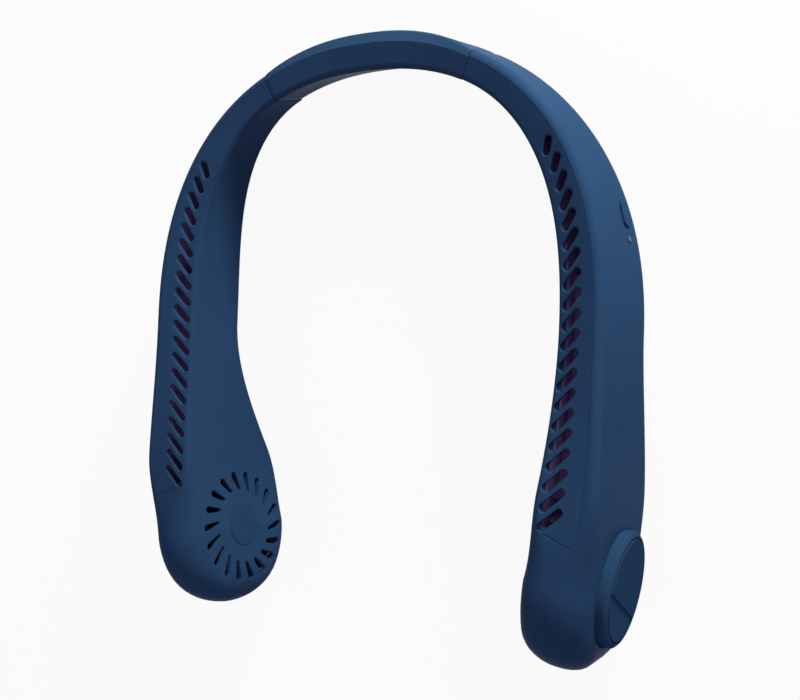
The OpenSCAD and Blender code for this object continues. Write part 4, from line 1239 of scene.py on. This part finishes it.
def build_caps(tree):
    base = BULB_OUT - CAP_SEAT
    height = CAP_SEAT + CAP_H
    top, shelf = height - CAP_LIP_SINK, height - CAP_FACE_T
    inner, lip = CAP_FACE_R - CAP_SHELF_W, CAP_FACE_R + CAP_LIP_GAP
    points = [(inner, 0), (CAP_R, 0), (CAP_R, height - CAP_BEVEL_FOOT), (CAP_R - CAP_BEVEL_W, top)]
    points += [(lip, top), (lip, shelf), (inner, shelf)]
    ring = turned_piece("right_cap_ring_skin", rounded_profile(points, CAP_CURVES), base, tree, navy_cap)
    profile = plate_profile(CAP_FACE_R - CAP_FACE_GAP, CAP_FACE_T - CAP_FACE_SINK, CAP_FACE_CURVE)
    face = turned_piece("right_cap_face_skin", profile, BULB_OUT + CAP_H - CAP_FACE_T, tree, navy_cap)
    facet = facet_tool()
    carve(face, [facet])
    discard(facet)
    profile = plate_profile(GRILLE_CAP_R, GRILLE_CAP_D + GRILLE_CAP_PROUD, GRILLE_CAP_CURVE)
    profile = [(r, -h) for r, h in profile]
    disc = turned_piece("right_grille_disc_skin", profile, GRILLE_CAP_D - BULB_IN, tree, navy_cap)
    for obj, node in ((ring, "cap_ring"), (face, "cap_face"), (disc, "grille_cap")):
        twin = mirrored(obj, obj.name.replace("right", "left"))
        finish_piece(obj, f"right_{node}", "right_arm", navy_cap)
        finish_piece(twin, f"left_{node}", "left_arm", navy_cap)


def facet_tool():
    """Cuts the thumb facet: deepest at a straight edge, from which it rises to the rim of the cap's face."""
    top = BULB_OUT + CAP_H - CAP_FACE_SINK
    rise = FACET_D / (CAP_FACE_R - FACET_OFF)
    spread = 2 * CAP_FACE_R
    section = [(0, -FACET_D), (spread, spread * rise - FACET_D), (spread, spread), (0, spread)]
    outlines = []
    for across in (-CAP_FACE_R, CAP_FACE_R):
        ring = []
        for x, z in section:
            p = turned((FACET_OFF + x, across), math.radians(FACET_TURN))
            # Across the bulb, local X points to its back and local Y towards the neck
            ring.append((top + z, p[1], -p[0]))
        outlines.append(ring)
    return stack("facet_tool", outlines, on_bulb)


# Neck band: the sleeve, the spring strip and the link cable bend between the two arms
FRONT_NORMAL = np.array([0, 0, 1])


def arc_point(angle, profile):
    """A point of a profile at an angle along the neck's round arc, measured from its middle."""
    r = NECK_R + profile[0]
    return (r * math.sin(angle), NECK_H - NECK_R + r * math.cos(angle), profile[1])


def arc_loft(name, half_angle, outline, steps):
    angles = [mix(-half_angle, half_angle, i / steps) for i in range(steps + 1)]
    return loft(name, [[arc_point(angle, p) for p in outline] for angle in angles])


def neck_middle():
    top = (NECK_CORNERS[0] + NECK_CORNERS[1]) / 2
    back = (NECK_CORNERS[2] + NECK_CORNERS[3]) / 2
    return (top + back) / 2, unit(back - top)


def build_sleeve():
    half = []
    for i in range(SLEEVE_STEPS + 1):
        share = max(i, FIRST_STEP) / SLEEVE_STEPS
        edge = max(0, share * SLEEVE_STEPS - (SLEEVE_STEPS - TUCK_STEPS)) / TUCK_STEPS
        half.append(sleeve_ring(share, SKIN_CURVE, SLEEVE_STEP - TUCK * edge * edge))
    rings = [[(-p[0], p[1], p[2]) for p in ring] for ring in half[::-1]] + half
    sleeve = loft("neck_sleeve_skin", rings)
    hollow = arc_loft("hollow", NECK_A + PLUG_A, drawn_in(NECK_LOW, SLEEVE_WALL), HOLLOW_STEPS)
    line = []
    for t in np.linspace(CREASE_START, CREASE_END, CREASE_STEPS):
        out = SLEEVE_BULGE * (1 - t * t) - CREASE_SINK
        line.append(np.array([*plan(BAND_END * t, out), CREASE[1] + SLEEVE_STEP]))
    spine = [np.array([-p[0], p[1], p[2]]) for p in line[::-1]] + line
    crease = seam_groove("crease_groove", spine, [FRONT_NORMAL] * len(spine), *CREASE_GROOVE)
    carve(sleeve, [hollow, crease])
    discard(hollow, crease)
    finish_blend(sleeve, "neck_sleeve", sleeve_skin)


def build_neck():
    build_sleeve()
    mid, run = neck_middle()
    across = np.array([-run[1], run[0]])
    half_w, half_t = run * STRIP_W / 2, across * STRIP_T / 2
    outline = [mid - half_w - half_t, mid - half_w + half_t, mid + half_w + half_t, mid + half_w - half_t]
    strip_a = math.asin(rail(SOLID_SHARE)[0] / NECK_R) - STRIP_END_GAP / NECK_R
    strip = arc_loft("spring_strip_bent", strip_a, outline, STRIP_STEPS)
    finish_blend(strip, "spring_strip", bright_steel)
    cable_at = mid - run * (STRIP_W / 2 + 2 * CABLE_R)
    outline = [cable_at + p for p in circle(CABLE_R, CABLE_SIDES)]
    cable = arc_loft("link_cable_run", strip_a + PLUG_A, outline, CABLE_STEPS)
    finish_blend(cable, "link_cable", cable_jacket)


def finish_blend(obj, node, material):
    obj.data.materials.clear()
    obj.data.materials.append(material)
    shade(obj)
    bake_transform(obj)
    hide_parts(node)


# Stage
def seen_rays(tree):
    """1 for the rays that show the background: those of the camera, of gloss and of glass."""
    rays = add(tree, "ShaderNodeLightPath", {})
    value = rays["Is Camera Ray"]
    for kind in ("Is Glossy Ray", "Is Transmission Ray"):
        value = combined(tree, "MAXIMUM", value, rays[kind])
    return value


def show_blend(tree, output, share, plain, seen):
    """Shows one shader in place of another, by a share, at the tree's output."""
    blend = add(tree, "ShaderNodeMixShader", {"Fac": share, 1: plain, 2: seen})["Shader"]
    feed(tree, tree.nodes[output], {"Surface": blend})


def build_stage():
    bpy.ops.mesh.primitive_plane_add(size=FLOOR_SIZE, location=(0, 0, -FLOOR_GAP))
    floor = bpy.context.object
    floor.name = "floor"
    material, tree, shader = shader_tree("pale_floor")
    looks = {"Base Color": (0.93, 0.93, 0.93, 1), "Roughness": 0.9, "Specular IOR Level": 0.1}
    feed(tree, shader, looks)
    glow = add(tree, "ShaderNodeEmission", {"Strength": 1})["Emission"]
    share = combined(tree, "MULTIPLY", seen_rays(tree), FLOOR_GLOW)
    show_blend(tree, "Material Output", share, shader.outputs["BSDF"], glow)
    floor.data.materials.append(material)


def soft_light(name, place, aim, size, power, tint):
    data = bpy.data.lights.new(name, "AREA")
    data.shape = "DISK"
    data.size = size
    data.energy = power
    data.color = tint
    light = linked(name, data)
    light.location = place
    light.rotation_euler = (Vector(aim) - Vector(place)).to_track_quat("-Z", "Y").to_euler()


def build_light():
    world = bpy.data.worlds.new("studio")
    bpy.context.scene.world = world
    world.use_nodes = True
    tree = world.node_tree
    plain = tree.nodes["Background"]
    feed(tree, plain, {"Color": (1, 0.82, 0.97, 1), "Strength": 0.42})
    white = add(tree, "ShaderNodeBackground", {"Color": (1, 1, 1, 1)})["Background"]
    show_blend(tree, "World Output", seen_rays(tree), plain.outputs["Background"], white)
    soft_light("key", (0.28, 0.52, 0.11), aim=(0, 0, 0.02), size=0.16, power=4.4, tint=(0.92, 1, 0.92))


bpy.context.scene.view_settings.view_transform = "Standard"
make_camera()
slots = slot_row_tree()
build_arm(slots)
build_caps(turned_tree())
build_neck()
build_stage()
build_light()
